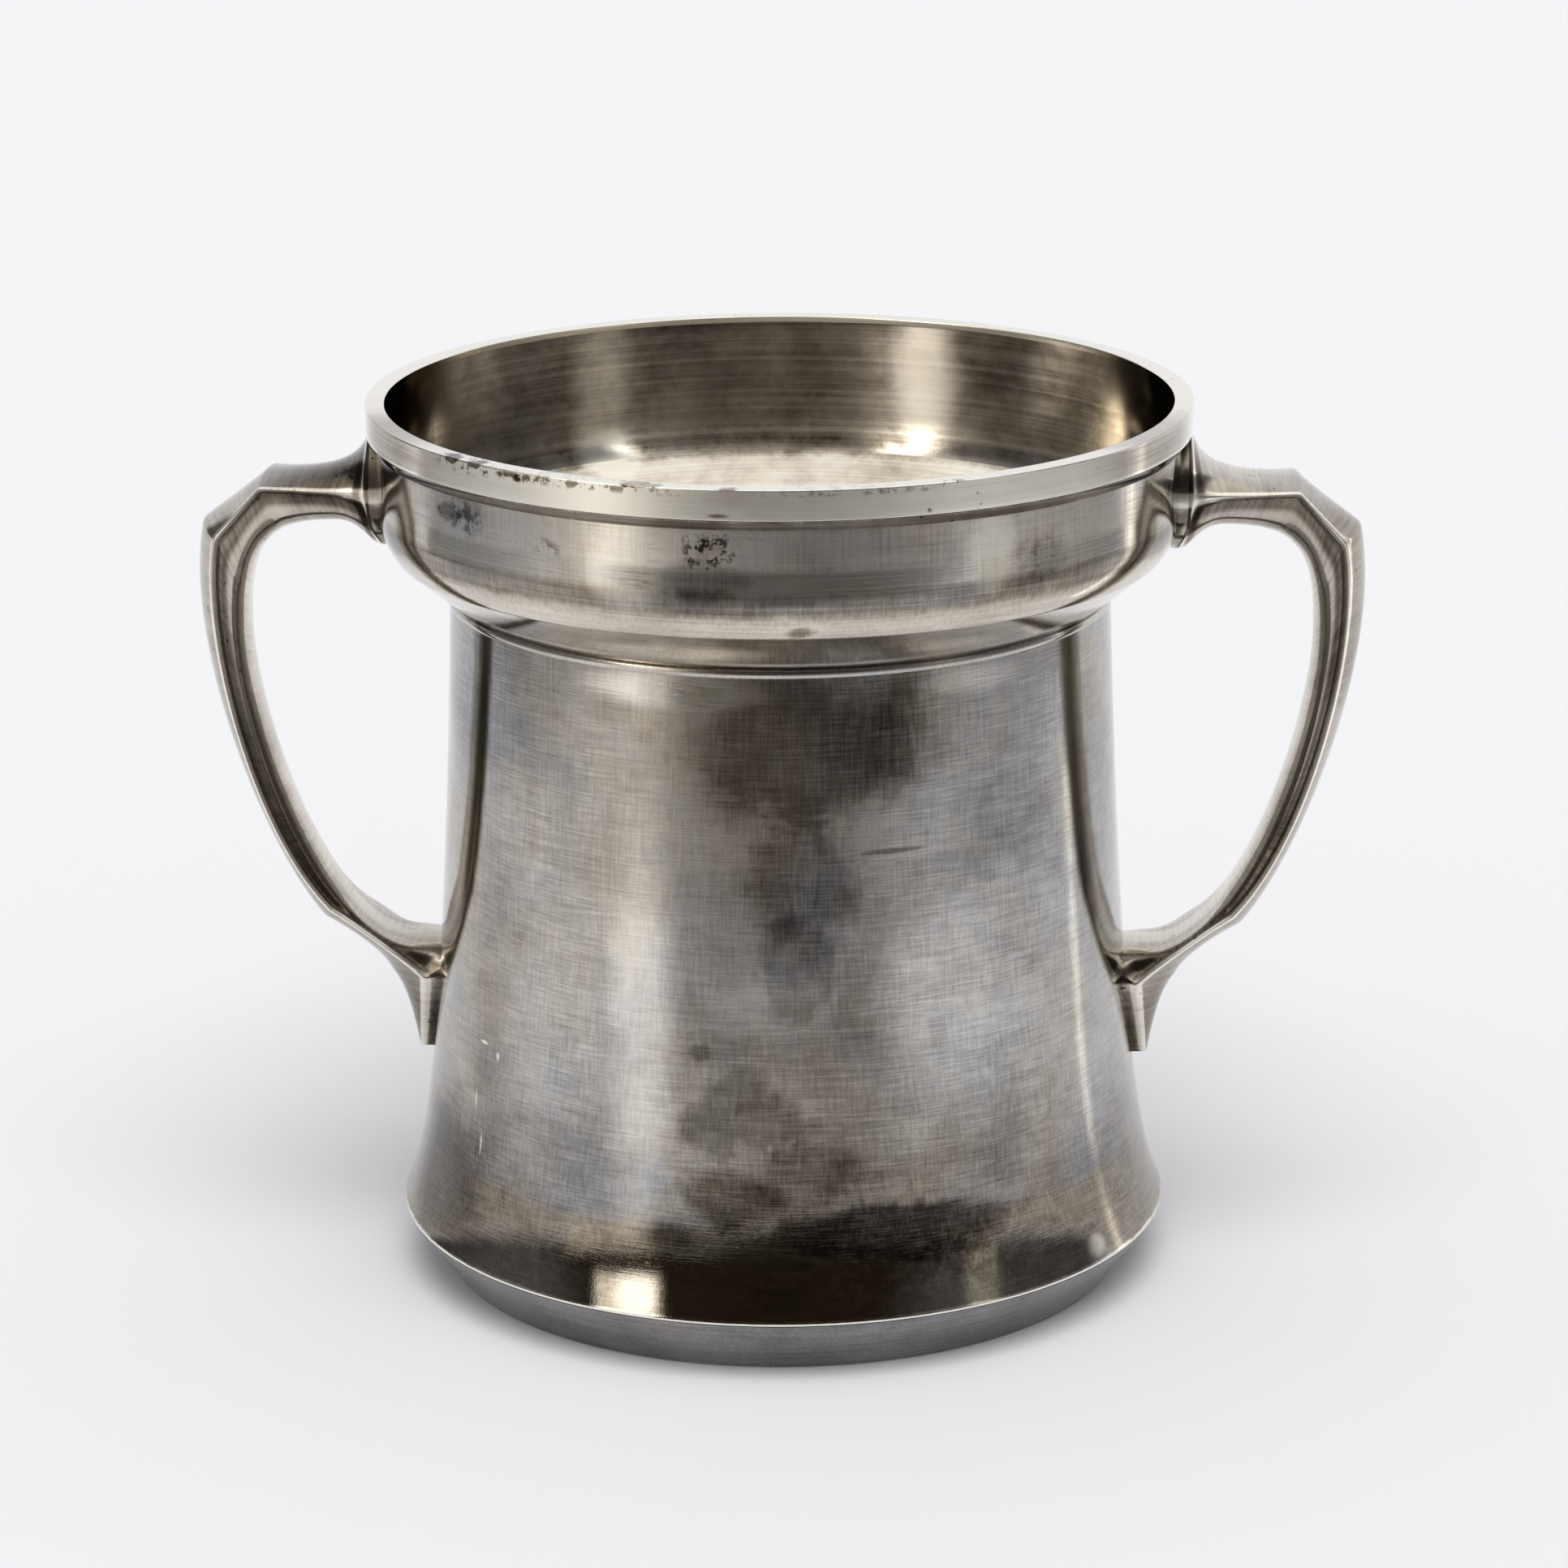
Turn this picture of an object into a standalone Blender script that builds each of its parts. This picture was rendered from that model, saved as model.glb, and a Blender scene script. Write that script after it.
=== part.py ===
# Two-handled champagne cooler: a flared body under a wide collar with a heavy
# rim ring, on a bevelled base ring, with a cast bow handle on each side.
# Metres, +Z up, the origin at the bottom centre, the handles along X.

import math

import bmesh
import bpy
from mathutils import Vector
from mathutils.geometry import interpolate_bezier

CLEARANCE = 0.0003       # gap between pieces that touch, where the solder lies
TURN_STEPS = 72          # facets round every turned piece
BODY_STEPS = 13          # facets down the body's flare
CORNER_STEPS = 5         # facets round the collar's corner
COVE_STEPS = 3           # facets along the hollow under the rim ring
WIRE_STEPS = 4           # facets over the neck wire
CURVE_STEPS = 32         # short straight pieces that stand for one curve of the handle
SHARP_ANGLE = math.radians(25)

# Heights of the vessel: the overall height, and what hangs from it
RIM_TOP_Z = 0.2177
RIM_FACE = 0.0072        # height of the rim ring's outer face
COLLAR_H = 0.0471        # from the rim's top down to the neck
LIP_Z = 0.0145           # sharp ridge between the body and the base bevel
RIM_LOW_Z = RIM_TOP_Z - RIM_FACE
NECK_Z = RIM_TOP_Z - COLLAR_H

# Radii of the vessel: the collar's, and how far the others lie from it
COLLAR_R = 0.0974
RIM_OUT = 0.0026         # rim ring outside the collar
RIM_IN = 0.0022          # rim ring inside the collar's outer face
SHOULDER_REACH = 0.0169  # shoulder, from the collar in to the neck
BODY_SPREAD = 0.0150     # body, from the neck out to the lip
BEVEL_REACH = 0.0109     # base bevel, from the lip in to the foot
FOOT_REACH = 0.0106      # flat foot, inwards
RIM_R = COLLAR_R + RIM_OUT
MOUTH_R = COLLAR_R - RIM_IN
NECK_R = COLLAR_R - SHOULDER_REACH
LIP_R = NECK_R + BODY_SPREAD
FOOT_R = LIP_R - BEVEL_REACH
FOOT_HOLE_R = FOOT_R - FOOT_REACH

# Sheet and section sizes
WALL = 0.0015            # sheet of the body and the collar
PLATE = 0.0015           # sheet of the bottom plate
BASE_SHEET = 0.0018      # sheet of the base ring
SPIGOT = 0.0040          # height of the sleeves that locate the turned pieces
RIM_LIP = 0.0015         # rim ring over the collar's edge
COVE = 0.0027            # height of the hollow moulding under the rim ring
EDGE = 0.0004            # rounding of the rim ring's edges
WIRE_H = 0.0020          # neck wire, a flat half round
WIRE_T = 0.0006

# Corner of the collar: a part of a circle, then a straight shoulder
CORNER_R = 0.0173
CORNER_TURN = math.radians(38)
SHOULDER_RISE = 0.815    # rise of the straight shoulder for each unit of reach

# Flare of the body: a taper, a slow swell and a short trumpet at the lip
TAPER = 0.0048
FLARE = 0.0045
FLARE_REACH = 0.0124
SWELL_POWER = 2.4

# Handle ends
FLANGE_R = 0.0150        # round foot of the handle on the collar
FLANGE_T = 0.0018        # height of its straight edge
FLANGE_DROP = 0.0222     # centre of the round foot below the rim's top
FLANGE_Z = RIM_TOP_Z - FLANGE_DROP
BLEND = 0.0090           # length over which the round foot becomes the bow's section
ARM_CROWD = 1.5          # how much closer the arm's stations lie near the flange
BOW_H = 0.1227           # from the round foot's centre down to the tail's start
TAIL_Z = FLANGE_Z - BOW_H   # where the bow meets the body and its tail begins
TAIL_LENGTH = 0.0213
TAIL_EDGE = 0.0026       # height of the tail's straight edge
TAIL_TIP_EDGE = 0.0030
TAIL_TIP_W = 0.0025      # half width of the tail's square end
TAIL_TOP_SHARE = 0.02    # share of the tail's length where its straight sides start

# Half width of the bow at its sharp edges: at the three corners of its outer
# line, and where the tail begins
ARM_W = 0.0138
GRIP_W = 0.0142
RUN_W = 0.0128
TAIL_W = 0.0145
SINK = 0.0090            # how far the uncut handle reaches into the vessel

# Bow seen from the side, in three lines. Each piece is a Bezier curve. The
# upper pieces are (reach from the collar's wall, rise over the flange's centre),
# the lower ones (reach from the body, rise over the tail's start).
# OUTER is the middle of the broad face, EDGE the sharp edges beside it, and
# INNER the middle of the side that the fingers touch.
BOW_UNIT = 0.0001        # one unit of these points: larger for a larger casting
FLANGE_EDGE = FLANGE_T / BOW_UNIT
FLANGE_HALF = FLANGE_R / BOW_UNIT
OUTER_ARM = [(FLANGE_EDGE, FLANGE_HALF), (46, 31), (150, 44), (283, 23)]
OUTER_BEND = [(283, 23), (434, -88)]
OUTER_GRIP_TOP = [(434, -88), (501, -391)]
OUTER_GRIP_LOW = [(433, 312), (285, 129)]
OUTER_RUN = [(285, 129), (192, 79), (148, 37), (125, -5)]
OUTER_TAIL = [(125, -5), (88, -54), (75, -111), (56, -TAIL_LENGTH / BOW_UNIT)]

EDGE_ARM = [(FLANGE_EDGE, 0), (63, 3), (143, 8), (278, 16)]
EDGE_BEND = [(278, 16), (389, -108)]
EDGE_GRIP_TOP = [(389, -108), (437, -346)]
EDGE_GRIP_LOW = [(443, 367), (254, 170)]
EDGE_RUN = [(254, 170), (189, 135), (6, -8), (TAIL_EDGE / BOW_UNIT, 0)]

INNER_ARM = [(-16, -FLANGE_HALF), (21, -161), (29, -88), (99, -88)]
INNER_BEND = [(99, -88), (275, -88), (324, -146), (324, -353)]
INNER_GRIP_TOP = [(324, -353), (324, -606)]
INNER_GRIP_LOW = [(257, 42), (42, 82)]

# Shares of the inner line's length where the outer line has its three corners
CORNER_SHARES = (0.179, 0.300, 0.785)

# Inner half of the bow's section, from the sharp edge to the middle, as shares
# of the half width and of the depth: a slight hollow, then a full round
SECTION = [(1, 0), (0.90, 0.13), (0.845, 0.30), (0.75, 0.53), (0.56, 0.78), (0.30, 0.94), (0, 1)]
# The same number of points round the straight sides of the tail
TAIL_SECTION = [(1, 0), (1, 0.5), (1, 1), (0.75, 1), (0.50, 1), (0.25, 1), (0, 1)]
FACE_STEPS = 4           # facets over half of the broad face

# Stations along the handle
ARM_STATIONS = 9
BEND_STATIONS = 3
GRIP_STATIONS = 13
RUN_STATIONS = 6
TAIL_STATIONS = 4


def clear_scene():
    for item in list(bpy.data.objects):
        bpy.data.objects.remove(item, do_unlink=True)


def new_collection(name):
    collection = bpy.data.collections.new(name)
    bpy.context.scene.collection.children.link(collection)
    return collection


def metal(name, colour, roughness):
    made = bpy.data.materials.new(name)
    made.use_nodes = True
    shader = made.node_tree.nodes["Principled BSDF"]
    shader.inputs["Base Color"].default_value = (*colour, 1.0)
    shader.inputs["Metallic"].default_value = 1.0
    shader.inputs["Roughness"].default_value = roughness
    return made


def add_object(name, mesh, collection):
    made = bpy.data.objects.new(name, mesh)
    collection.objects.link(made)
    return made


def shade_round(mesh):
    mesh.shade_smooth()
    mesh.set_sharp_from_angle(angle=SHARP_ANGLE)


# Turned pieces

def arc(centre, radius, start, end, steps):
    # points on a circle in the profile plane, from one angle to the other
    points = []
    for i in range(steps + 1):
        angle = start + (end - start) * i / steps
        points.append((centre[0] + radius * math.cos(angle), centre[1] + radius * math.sin(angle)))
    return points


def offset(line, distance):
    # the line moved to its right by a distance, with mitred corners; a line that
    # runs down the outside of a vessel has its material on the right
    moved = []
    for i, point in enumerate(line):
        here = Vector(point)
        before = Vector(line[max(i - 1, 0)])
        after = Vector(line[min(i + 1, len(line) - 1)])
        first = (here - before) if i > 0 else (after - here)
        second = (after - here) if i < len(line) - 1 else first
        first = Vector((first.y, -first.x)).normalized()
        second = Vector((second.y, -second.x)).normalized()
        middle = (first + second).normalized()
        shift = here + middle * (distance / middle.dot(first))
        moved.append((shift.x, shift.y))
    return moved


def turned(name, outline, collection, material=None):
    # outline: (radius, height) points of the closed section, down the outside first
    mesh = bpy.data.meshes.new(name)
    points = [(radius, 0.0, height) for radius, height in outline]
    edges = [(i, (i + 1) % len(points)) for i in range(len(points))]
    mesh.from_pydata(points, edges, [])
    if material:
        mesh.materials.append(material)
    made = add_object(name, mesh, collection)
    screw = made.modifiers.new("turn", "SCREW")
    screw.axis = "Z"
    screw.angle = math.tau
    screw.steps = TURN_STEPS
    screw.render_steps = TURN_STEPS
    screw.use_merge_vertices = True
    screw.merge_threshold = 0.00001
    screw.use_smooth_shade = True
    return made


def body_radius(z):
    # outside of the body at a height
    share = (NECK_Z - z) / (NECK_Z - LIP_Z)
    swell = LIP_R - NECK_R - TAPER - FLARE
    trumpet = FLARE * math.exp(-(z - LIP_Z) / FLARE_REACH)
    return NECK_R + TAPER * share + swell * share ** SWELL_POWER + trumpet


def body_outside(top):
    # down the outside of the body, with more points near the lip
    line = []
    for i in range(BODY_STEPS + 1):
        share = math.sin(math.pi / 2 * i / BODY_STEPS)
        z = top + (LIP_Z - top) * share
        line.append((body_radius(z), z))
    return line


def collar_outside(top):
    # down the collar's wall, round its corner and in along the shoulder
    corner_drop = CORNER_R * math.sin(CORNER_TURN)
    shoulder_top_r = COLLAR_R - CORNER_R * (1 - math.cos(CORNER_TURN))
    shoulder_top_z = NECK_Z + (shoulder_top_r - NECK_R) * SHOULDER_RISE
    centre = (COLLAR_R - CORNER_R, shoulder_top_z + corner_drop)
    corner = arc(centre, CORNER_R, 0, -CORNER_TURN, CORNER_STEPS)
    return [(COLLAR_R, top)] + corner + [(NECK_R, NECK_Z)]


def body_outline():
    outside = body_outside(NECK_Z - CLEARANCE)
    inside = [(radius - WALL, z) for radius, z in reversed(outside)]
    return outside + inside


def collar_outline():
    top = RIM_TOP_Z - RIM_LIP - CLEARANCE
    outside = collar_outside(top)
    inside = offset(outside, WALL)
    inside[0] = (COLLAR_R - WALL, top)
    sleeve_r = NECK_R - WALL - CLEARANCE
    bore_r = sleeve_r - WALL
    # the shoulder's inner face runs on down to the sleeve's bore
    last_r, last_z = inside[-1]
    inside[-1] = (bore_r, last_z - (last_r - bore_r) * SHOULDER_RISE)
    sleeve_low = NECK_Z - SPIGOT
    sleeve = [(sleeve_r, NECK_Z), (sleeve_r, sleeve_low), (bore_r, sleeve_low)]
    return outside + sleeve + list(reversed(inside))


def rim_outside():
    # down the outer face of the rim ring and along the hollow under it
    bore = COLLAR_R + CLEARANCE
    hollow = []
    for i in range(COVE_STEPS + 1):
        angle = math.pi / 2 * i / COVE_STEPS
        hollow.append((RIM_R - (RIM_R - bore - EDGE) * math.sin(angle),
                       RIM_LOW_Z - COVE * (1 - math.cos(angle))))
    return [(RIM_R, RIM_TOP_Z - EDGE)] + hollow


def rim_outline():
    bore = COLLAR_R + CLEARANCE
    low = RIM_LOW_Z - COVE
    shelf = RIM_TOP_Z - RIM_LIP
    top = [(MOUTH_R + EDGE, RIM_TOP_Z), (RIM_R - EDGE, RIM_TOP_Z)]
    inside = [(bore, low), (bore, shelf), (MOUTH_R, shelf), (MOUTH_R, RIM_TOP_Z - EDGE)]
    return top + rim_outside() + inside


def wire_outline():
    # a flat half round round the neck, its back to the body
    middle = NECK_Z - WIRE_H / 2
    back = body_radius(middle) + CLEARANCE
    points = []
    for i in range(WIRE_STEPS + 1):
        angle = math.pi / 2 - math.pi * i / WIRE_STEPS
        points.append((back + WIRE_T * math.cos(angle), middle + WIRE_H / 2 * math.sin(angle)))
    return points


def base_bevel(inwards=0.0):
    # the straight bevel from the foot up to the lip, as (radius, height) points
    return offset([(LIP_R, LIP_Z - CLEARANCE), (FOOT_R, 0.0)], inwards)[::-1]


def base_corner(radius=None, height=None):
    # a point on the inner face of the bevel, at a radius or at a height
    (low_r, low_z), (high_r, high_z) = base_bevel(BASE_SHEET)
    slope = (high_r - low_r) / (high_z - low_z)
    if radius is None:
        return low_r + slope * (height - low_z), height
    return radius, low_z + (radius - low_r) / slope


def base_outline():
    foot, lip = base_bevel()
    sleeve_top = lip[1] + SPIGOT
    sleeve_r = body_radius(sleeve_top) - WALL - CLEARANCE
    bore_r = sleeve_r - BASE_SHEET
    sleeve = [(bore_r, sleeve_top), (sleeve_r, sleeve_top), (sleeve_r, lip[1])]
    foot_flange = [(FOOT_HOLE_R, 0.0), (FOOT_HOLE_R, BASE_SHEET), base_corner(height=BASE_SHEET)]
    return sleeve + [lip, foot] + foot_flange + [base_corner(radius=bore_r)]


def bottom_plate(collection, material):
    radius = base_corner(height=BASE_SHEET)[0] - CLEARANCE
    mesh = bpy.data.meshes.new("bottom_plate")
    shape = bmesh.new()
    bmesh.ops.create_cone(shape, cap_ends=True, segments=TURN_STEPS,
                          radius1=radius, radius2=radius, depth=PLATE)
    shape.to_mesh(mesh)
    shape.free()
    shade_round(mesh)
    mesh.materials.append(material)
    made = add_object("bottom_plate", mesh, collection)
    made.location.z = BASE_SHEET + CLEARANCE + PLATE / 2
    return made


# Handles

def upper(points):
    start = Vector((COLLAR_R, FLANGE_Z))
    return [start + Vector(point) * BOW_UNIT for point in points]


def lower(points):
    start = Vector((body_radius(TAIL_Z), TAIL_Z))
    return [start + Vector(point) * BOW_UNIT for point in points]


def curve(controls):
    if len(controls) == 2:
        start, end = controls
        return [start.lerp(end, i / CURVE_STEPS) for i in range(CURVE_STEPS + 1)]
    return [Vector(p[:2]) for p in interpolate_bezier(*controls, CURVE_STEPS + 1)]


def spread(line, start, end, count, crowd=1.0):
    # count points after the first share of the line's length, up to the last one
    lengths = [0.0]
    for a, b in zip(line, line[1:]):
        lengths.append(lengths[-1] + (b - a).length)
    points = []
    for i in range(1, count + 1):
        wanted = (start + (end - start) * (i / count) ** crowd) * lengths[-1]
        k = 0
        while k < len(line) - 2 and lengths[k + 1] < wanted:
            k += 1
        share = (wanted - lengths[k]) / (lengths[k + 1] - lengths[k])
        points.append(line[k].lerp(line[k + 1], share))
    return points


def flange_face(z):
    # outer edge of the round foot, which follows the collar's profile
    line = offset(collar_outside(RIM_TOP_Z), -FLANGE_T)
    for (r0, z0), (r1, z1) in zip(line, line[1:]):
        if z1 <= z <= z0:
            return r0 + (r1 - r0) * (z0 - z) / (z0 - z1)
    return line[0][0]


def loop(outer, edge, inner, half_width, section, roundness):
    # one closed section: the broad face, the sharp edges and the finger side.
    # roundness 1 is the round foot, 0 the bow.
    face, flank = [], []
    for k in range(FACE_STEPS + 1):
        across = math.sin(math.pi / 2 * k / FACE_STEPS)
        crown = (1 - across * across) ** (1 - 0.5 * roundness)
        face.append((edge + (outer - edge) * crown, across))
    last = len(section) - 1
    for k in range(1, last + 1):
        angle = math.pi / 2 * k / last
        across = section[k][0] + (math.cos(angle) - section[k][0]) * roundness
        depth = section[k][1] + (math.sin(angle) - section[k][1]) * roundness
        flank.append((edge + (inner - edge) * depth, across))
    near = face + flank
    far = [(point, -across) for point, across in reversed(near[1:-1])]
    return [Vector((point.x, across * half_width, point.y)) for point, across in near + far]


def handle_loops():
    arm = curve(upper(OUTER_ARM))
    arm_edge = curve(upper(EDGE_ARM))
    finger_side = (curve(upper(INNER_ARM))[:-1] + curve(upper(INNER_BEND))[:-1]
                   + curve(upper(INNER_GRIP_TOP) + lower(INNER_GRIP_LOW)))
    # it runs straight on into the body, to be cut off there
    finger_side.append(finger_side[-1] - Vector((SINK, 0.0)))
    at_arm, at_bend, at_grip = CORNER_SHARES
    grip = curve(upper(OUTER_GRIP_TOP) + lower(OUTER_GRIP_LOW))
    grip_edge = curve(upper(EDGE_GRIP_TOP) + lower(EDGE_GRIP_LOW))
    # outer line, edge line, shares of the finger side, half widths, stations
    spans = [
        (arm, arm_edge, (0.0, at_arm), (ARM_W, ARM_W), ARM_STATIONS),
        (curve(upper(OUTER_BEND)), curve(upper(EDGE_BEND)),
         (at_arm, at_bend), (ARM_W, GRIP_W), BEND_STATIONS),
        (grip, grip_edge, (at_bend, at_grip), (GRIP_W, RUN_W), GRIP_STATIONS),
        (curve(lower(OUTER_RUN)), curve(lower(EDGE_RUN)),
         (at_grip, 1.0), (RUN_W, TAIL_W), RUN_STATIONS),
    ]

    # the round foot: from inside the collar out to its edge
    foot = loop(arm[0], arm_edge[0], finger_side[0], FLANGE_R, SECTION, 1.0)
    sunk = [Vector((COLLAR_R - SINK, p.y, p.z)) for p in foot]
    edge = [Vector((flange_face(p.z), p.y, p.z)) for p in foot]
    loops = [sunk, edge]

    for outer_line, edge_line, (start, end), (width, end_width), count in spans:
        crowd = ARM_CROWD if outer_line is arm else 1.0
        outers = spread(outer_line, 0.0, 1.0, count, crowd)
        edges = spread(edge_line, 0.0, 1.0, count, crowd)
        inners = spread(finger_side, start, end, count, crowd)
        for i in range(count):
            roundness = max(0.0, 1 - (edges[i] - arm_edge[0]).length / BLEND) ** 2
            half_width = width + (end_width - width) * (i + 1) / count
            half_width += (FLANGE_R - half_width) * roundness
            loops.append(loop(outers[i], edges[i], inners[i], half_width, SECTION, roundness))

    # the tail, with straight sides, down to its square end
    root = body_radius(TAIL_Z)
    tip = body_radius(TAIL_Z - TAIL_LENGTH)
    start_edge = Vector((root + TAIL_EDGE, TAIL_Z))
    end_edge = Vector((tip + TAIL_TIP_EDGE, TAIL_Z - TAIL_LENGTH))
    tail = curve(lower(OUTER_TAIL))
    for i in range(TAIL_STATIONS + 1):
        share = TAIL_TOP_SHARE + (1 - TAIL_TOP_SHARE) * i / TAIL_STATIONS
        outer = spread(tail, 0.0, share, 1)[0]
        edge_point = start_edge.lerp(end_edge, share)
        inner = Vector((edge_point.x - SINK, edge_point.y))
        width = TAIL_W + (TAIL_TIP_W - TAIL_W) * share
        loops.append(loop(outer, edge_point, inner, width, TAIL_SECTION, 0.0))
    return loops


def lofted(name, loops):
    shape = bmesh.new()
    rows = [[shape.verts.new(point) for point in points] for points in loops]
    around = len(rows[0])
    for row, following in zip(rows, rows[1:]):
        for k in range(around):
            after = (k + 1) % around
            shape.faces.new((row[k], row[after], following[after], following[k]))
    shape.faces.new(reversed(rows[0]))
    shape.faces.new(rows[-1])
    bmesh.ops.recalc_face_normals(shape, faces=shape.faces)
    mesh = bpy.data.meshes.new(name)
    shape.to_mesh(mesh)
    shape.free()
    shade_round(mesh)
    return mesh


def vessel_room(collection):
    # everything inside the vessel's outside, grown by the clearance: a cutter
    rim = rim_outside()
    collar = [point for point in collar_outside(rim[-1][1]) if point[1] <= rim[-1][1]]
    body = body_outside(NECK_Z)
    line = [(RIM_R, RIM_TOP_Z)] + rim[1:] + collar + body[1:]
    outside = offset(line, -CLEARANCE)
    outline = [(0.0, RIM_TOP_Z)] + outside + [(0.0, LIP_Z)]
    made = turned("vessel_room", outline, collection)
    made.hide_render = True
    made.display_type = "WIRE"
    return made


def handle(name, mesh, turn, room, collection):
    made = add_object(name, mesh, collection)
    made.rotation_euler.z = turn
    cut = made.modifiers.new("fit to the vessel", "BOOLEAN")
    cut.operation = "DIFFERENCE"
    cut.solver = "EXACT"
    cut.object = room
    return made


def main():
    clear_scene()
    parts = new_collection("champagne_cooler")
    cutters = new_collection("cutters")

    rim_metal = metal("rim silver", (0.76, 0.72, 0.64), 0.28)
    collar_metal = metal("collar silver", (0.56, 0.53, 0.48), 0.22)
    body_metal = metal("body silver", (0.50, 0.48, 0.46), 0.20)
    base_metal = metal("base silver", (0.33, 0.34, 0.35), 0.30)
    plate_metal = metal("inside silver", (0.42, 0.39, 0.33), 0.38)
    wire_metal = metal("wire silver", (0.46, 0.47, 0.49), 0.30)
    handle_metal = metal("cast silver", (0.58, 0.54, 0.48), 0.26)

    turned("rim_ring", rim_outline(), parts, rim_metal)
    turned("collar", collar_outline(), parts, collar_metal)
    turned("neck_wire", wire_outline(), parts, wire_metal)
    turned("body", body_outline(), parts, body_metal)
    turned("base_ring", base_outline(), parts, base_metal)
    bottom_plate(parts, plate_metal)

    room = vessel_room(cutters)
    bow = lofted("handle", handle_loops())
    bow.materials.append(handle_metal)
    handle("handle_right", bow, 0.0, room, parts)
    handle("handle_left", bow, math.pi, room, parts)


main()
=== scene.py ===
import math

import bmesh
import bpy
from mathutils import Matrix, Vector
from mathutils.geometry import interpolate_bezier
from mathutils.kdtree import KDTree


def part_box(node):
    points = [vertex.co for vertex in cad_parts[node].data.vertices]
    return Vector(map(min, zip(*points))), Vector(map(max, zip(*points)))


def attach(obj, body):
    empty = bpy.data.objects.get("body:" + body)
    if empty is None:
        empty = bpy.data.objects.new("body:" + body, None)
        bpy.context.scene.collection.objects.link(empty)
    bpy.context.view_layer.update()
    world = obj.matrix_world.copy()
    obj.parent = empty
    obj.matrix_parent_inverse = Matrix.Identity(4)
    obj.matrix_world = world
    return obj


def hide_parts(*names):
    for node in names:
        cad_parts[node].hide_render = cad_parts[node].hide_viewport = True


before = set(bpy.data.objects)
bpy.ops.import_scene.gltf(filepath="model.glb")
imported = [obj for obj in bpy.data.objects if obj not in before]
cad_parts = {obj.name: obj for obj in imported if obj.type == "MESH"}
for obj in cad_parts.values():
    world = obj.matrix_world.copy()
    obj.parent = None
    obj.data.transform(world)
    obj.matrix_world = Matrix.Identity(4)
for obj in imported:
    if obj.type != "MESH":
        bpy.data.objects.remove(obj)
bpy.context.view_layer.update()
print("frame loaded,", len(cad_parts), "nodes")

# The vessel's sizes, as the CAD has them, and how finely it is turned
vessel = {
    "rimTopZ": 0.2177, "rimLowZ": 0.2105, "neckZ": 0.1706, "lipZ": 0.0145,
    "collarR": 0.0974, "rimR": 0.1, "mouthR": 0.0952, "neckR": 0.0805,
    "lipR": 0.0955, "footR": 0.0846, "footHoleR": 0.074,
    "wall": 0.0015, "plate": 0.0015, "baseSheet": 0.0018, "sleeve": 0.004,
    "rimLip": 0.0015, "cove": 0.0027, "wireH": 0.002, "wireT": 0.0006,
    "cornerR": 0.0173, "cornerTurn": math.radians(38), "shoulderRise": 0.815,
    "taper": 0.0048, "flare": 0.0045, "flareReach": 0.0124, "swellPower": 2.4,
    "turnSteps": 288, "roundSteps": 4, "sharpAngle": math.radians(40),
}


def bodyRadius(z):
    # outside of the body at a height: a taper, a slow swell and a short trumpet
    v = vessel
    share = (v["neckZ"] - z) / (v["neckZ"] - v["lipZ"])
    swell = v["lipR"] - v["neckR"] - v["taper"] - v["flare"]
    trumpet = v["flare"] * math.exp(-(z - v["lipZ"]) / v["flareReach"])
    return v["neckR"] + v["taper"] * share + swell * share ** v["swellPower"] + trumpet


def offsetLine(line, distance):
    # a line moved to its right, with mitred corners
    moved = []
    for i, point in enumerate(line):
        here = Vector(point)
        before = Vector(line[max(i - 1, 0)])
        after = Vector(line[min(i + 1, len(line) - 1)])
        first = (here - before) if i > 0 else (after - here)
        second = (after - here) if i < len(line) - 1 else first
        first = Vector((first.y, -first.x)).normalized()
        second = Vector((second.y, -second.x)).normalized()
        middle = (first + second).normalized()
        shift = here + middle * (distance / middle.dot(first))
        moved.append((shift.x, shift.y))
    return moved


def meshObject(name, shape):
    # a bmesh made into an object of the scene
    mesh = bpy.data.meshes.new(name)
    shape.to_mesh(mesh)
    shape.free()
    made = bpy.data.objects.new(name, mesh)
    bpy.context.scene.collection.objects.link(made)
    return made


def addPiece(name, shape, nodeName):
    # a finished mesh takes its node's place and rides on the one rigid body
    piece = meshObject(name, shape)
    piece.data.shade_smooth()
    piece.data.set_sharp_from_angle(angle=vessel["sharpAngle"])
    weighted = piece.modifiers.new("even shading", "WEIGHTED_NORMAL")
    weighted.keep_sharp = True
    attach(piece, "root")
    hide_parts(nodeName)
    return piece


def turnedShape(outline):
    # outline: (radius, height, rounding) round a closed section, spun about Z
    shape = bmesh.new()
    ring = [shape.verts.new((radius, 0, z)) for radius, z, size in outline]
    for a, b in zip(ring, ring[1:] + ring[:1]):
        shape.edges.new((a, b))
    for vert, (radius, z, size) in zip(ring, outline):
        if size:
            bmesh.ops.bevel(shape, geom=[vert], offset=size, offset_type="OFFSET",
                            segments=vessel["roundSteps"], profile=0.5, affect="VERTICES",
                            material=-1, clamp_overlap=True)
    bmesh.ops.spin(shape, geom=shape.verts[:] + shape.edges[:], cent=(0, 0, 0), axis=(0, 0, 1),
                   angle=math.tau, steps=vessel["turnSteps"], use_merge=True)
    bmesh.ops.recalc_face_normals(shape, faces=shape.faces)
    return shape


def plain(points):
    # outline points with no rounding
    return [(radius, z, 0) for radius, z in points]


# Camera, from the photo's own perspective; focal is in the photo's pixels
camera = {"distance": 1.24574, "height": 0.4895, "pitch": 0.28862, "roll": -0.005061,
          "yaw": 0.000526, "azimuth": math.radians(2.5), "focal": 6487.07, "pixels": 1932,
          "sensor": 36, "near": 0.05, "far": 50}


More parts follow.
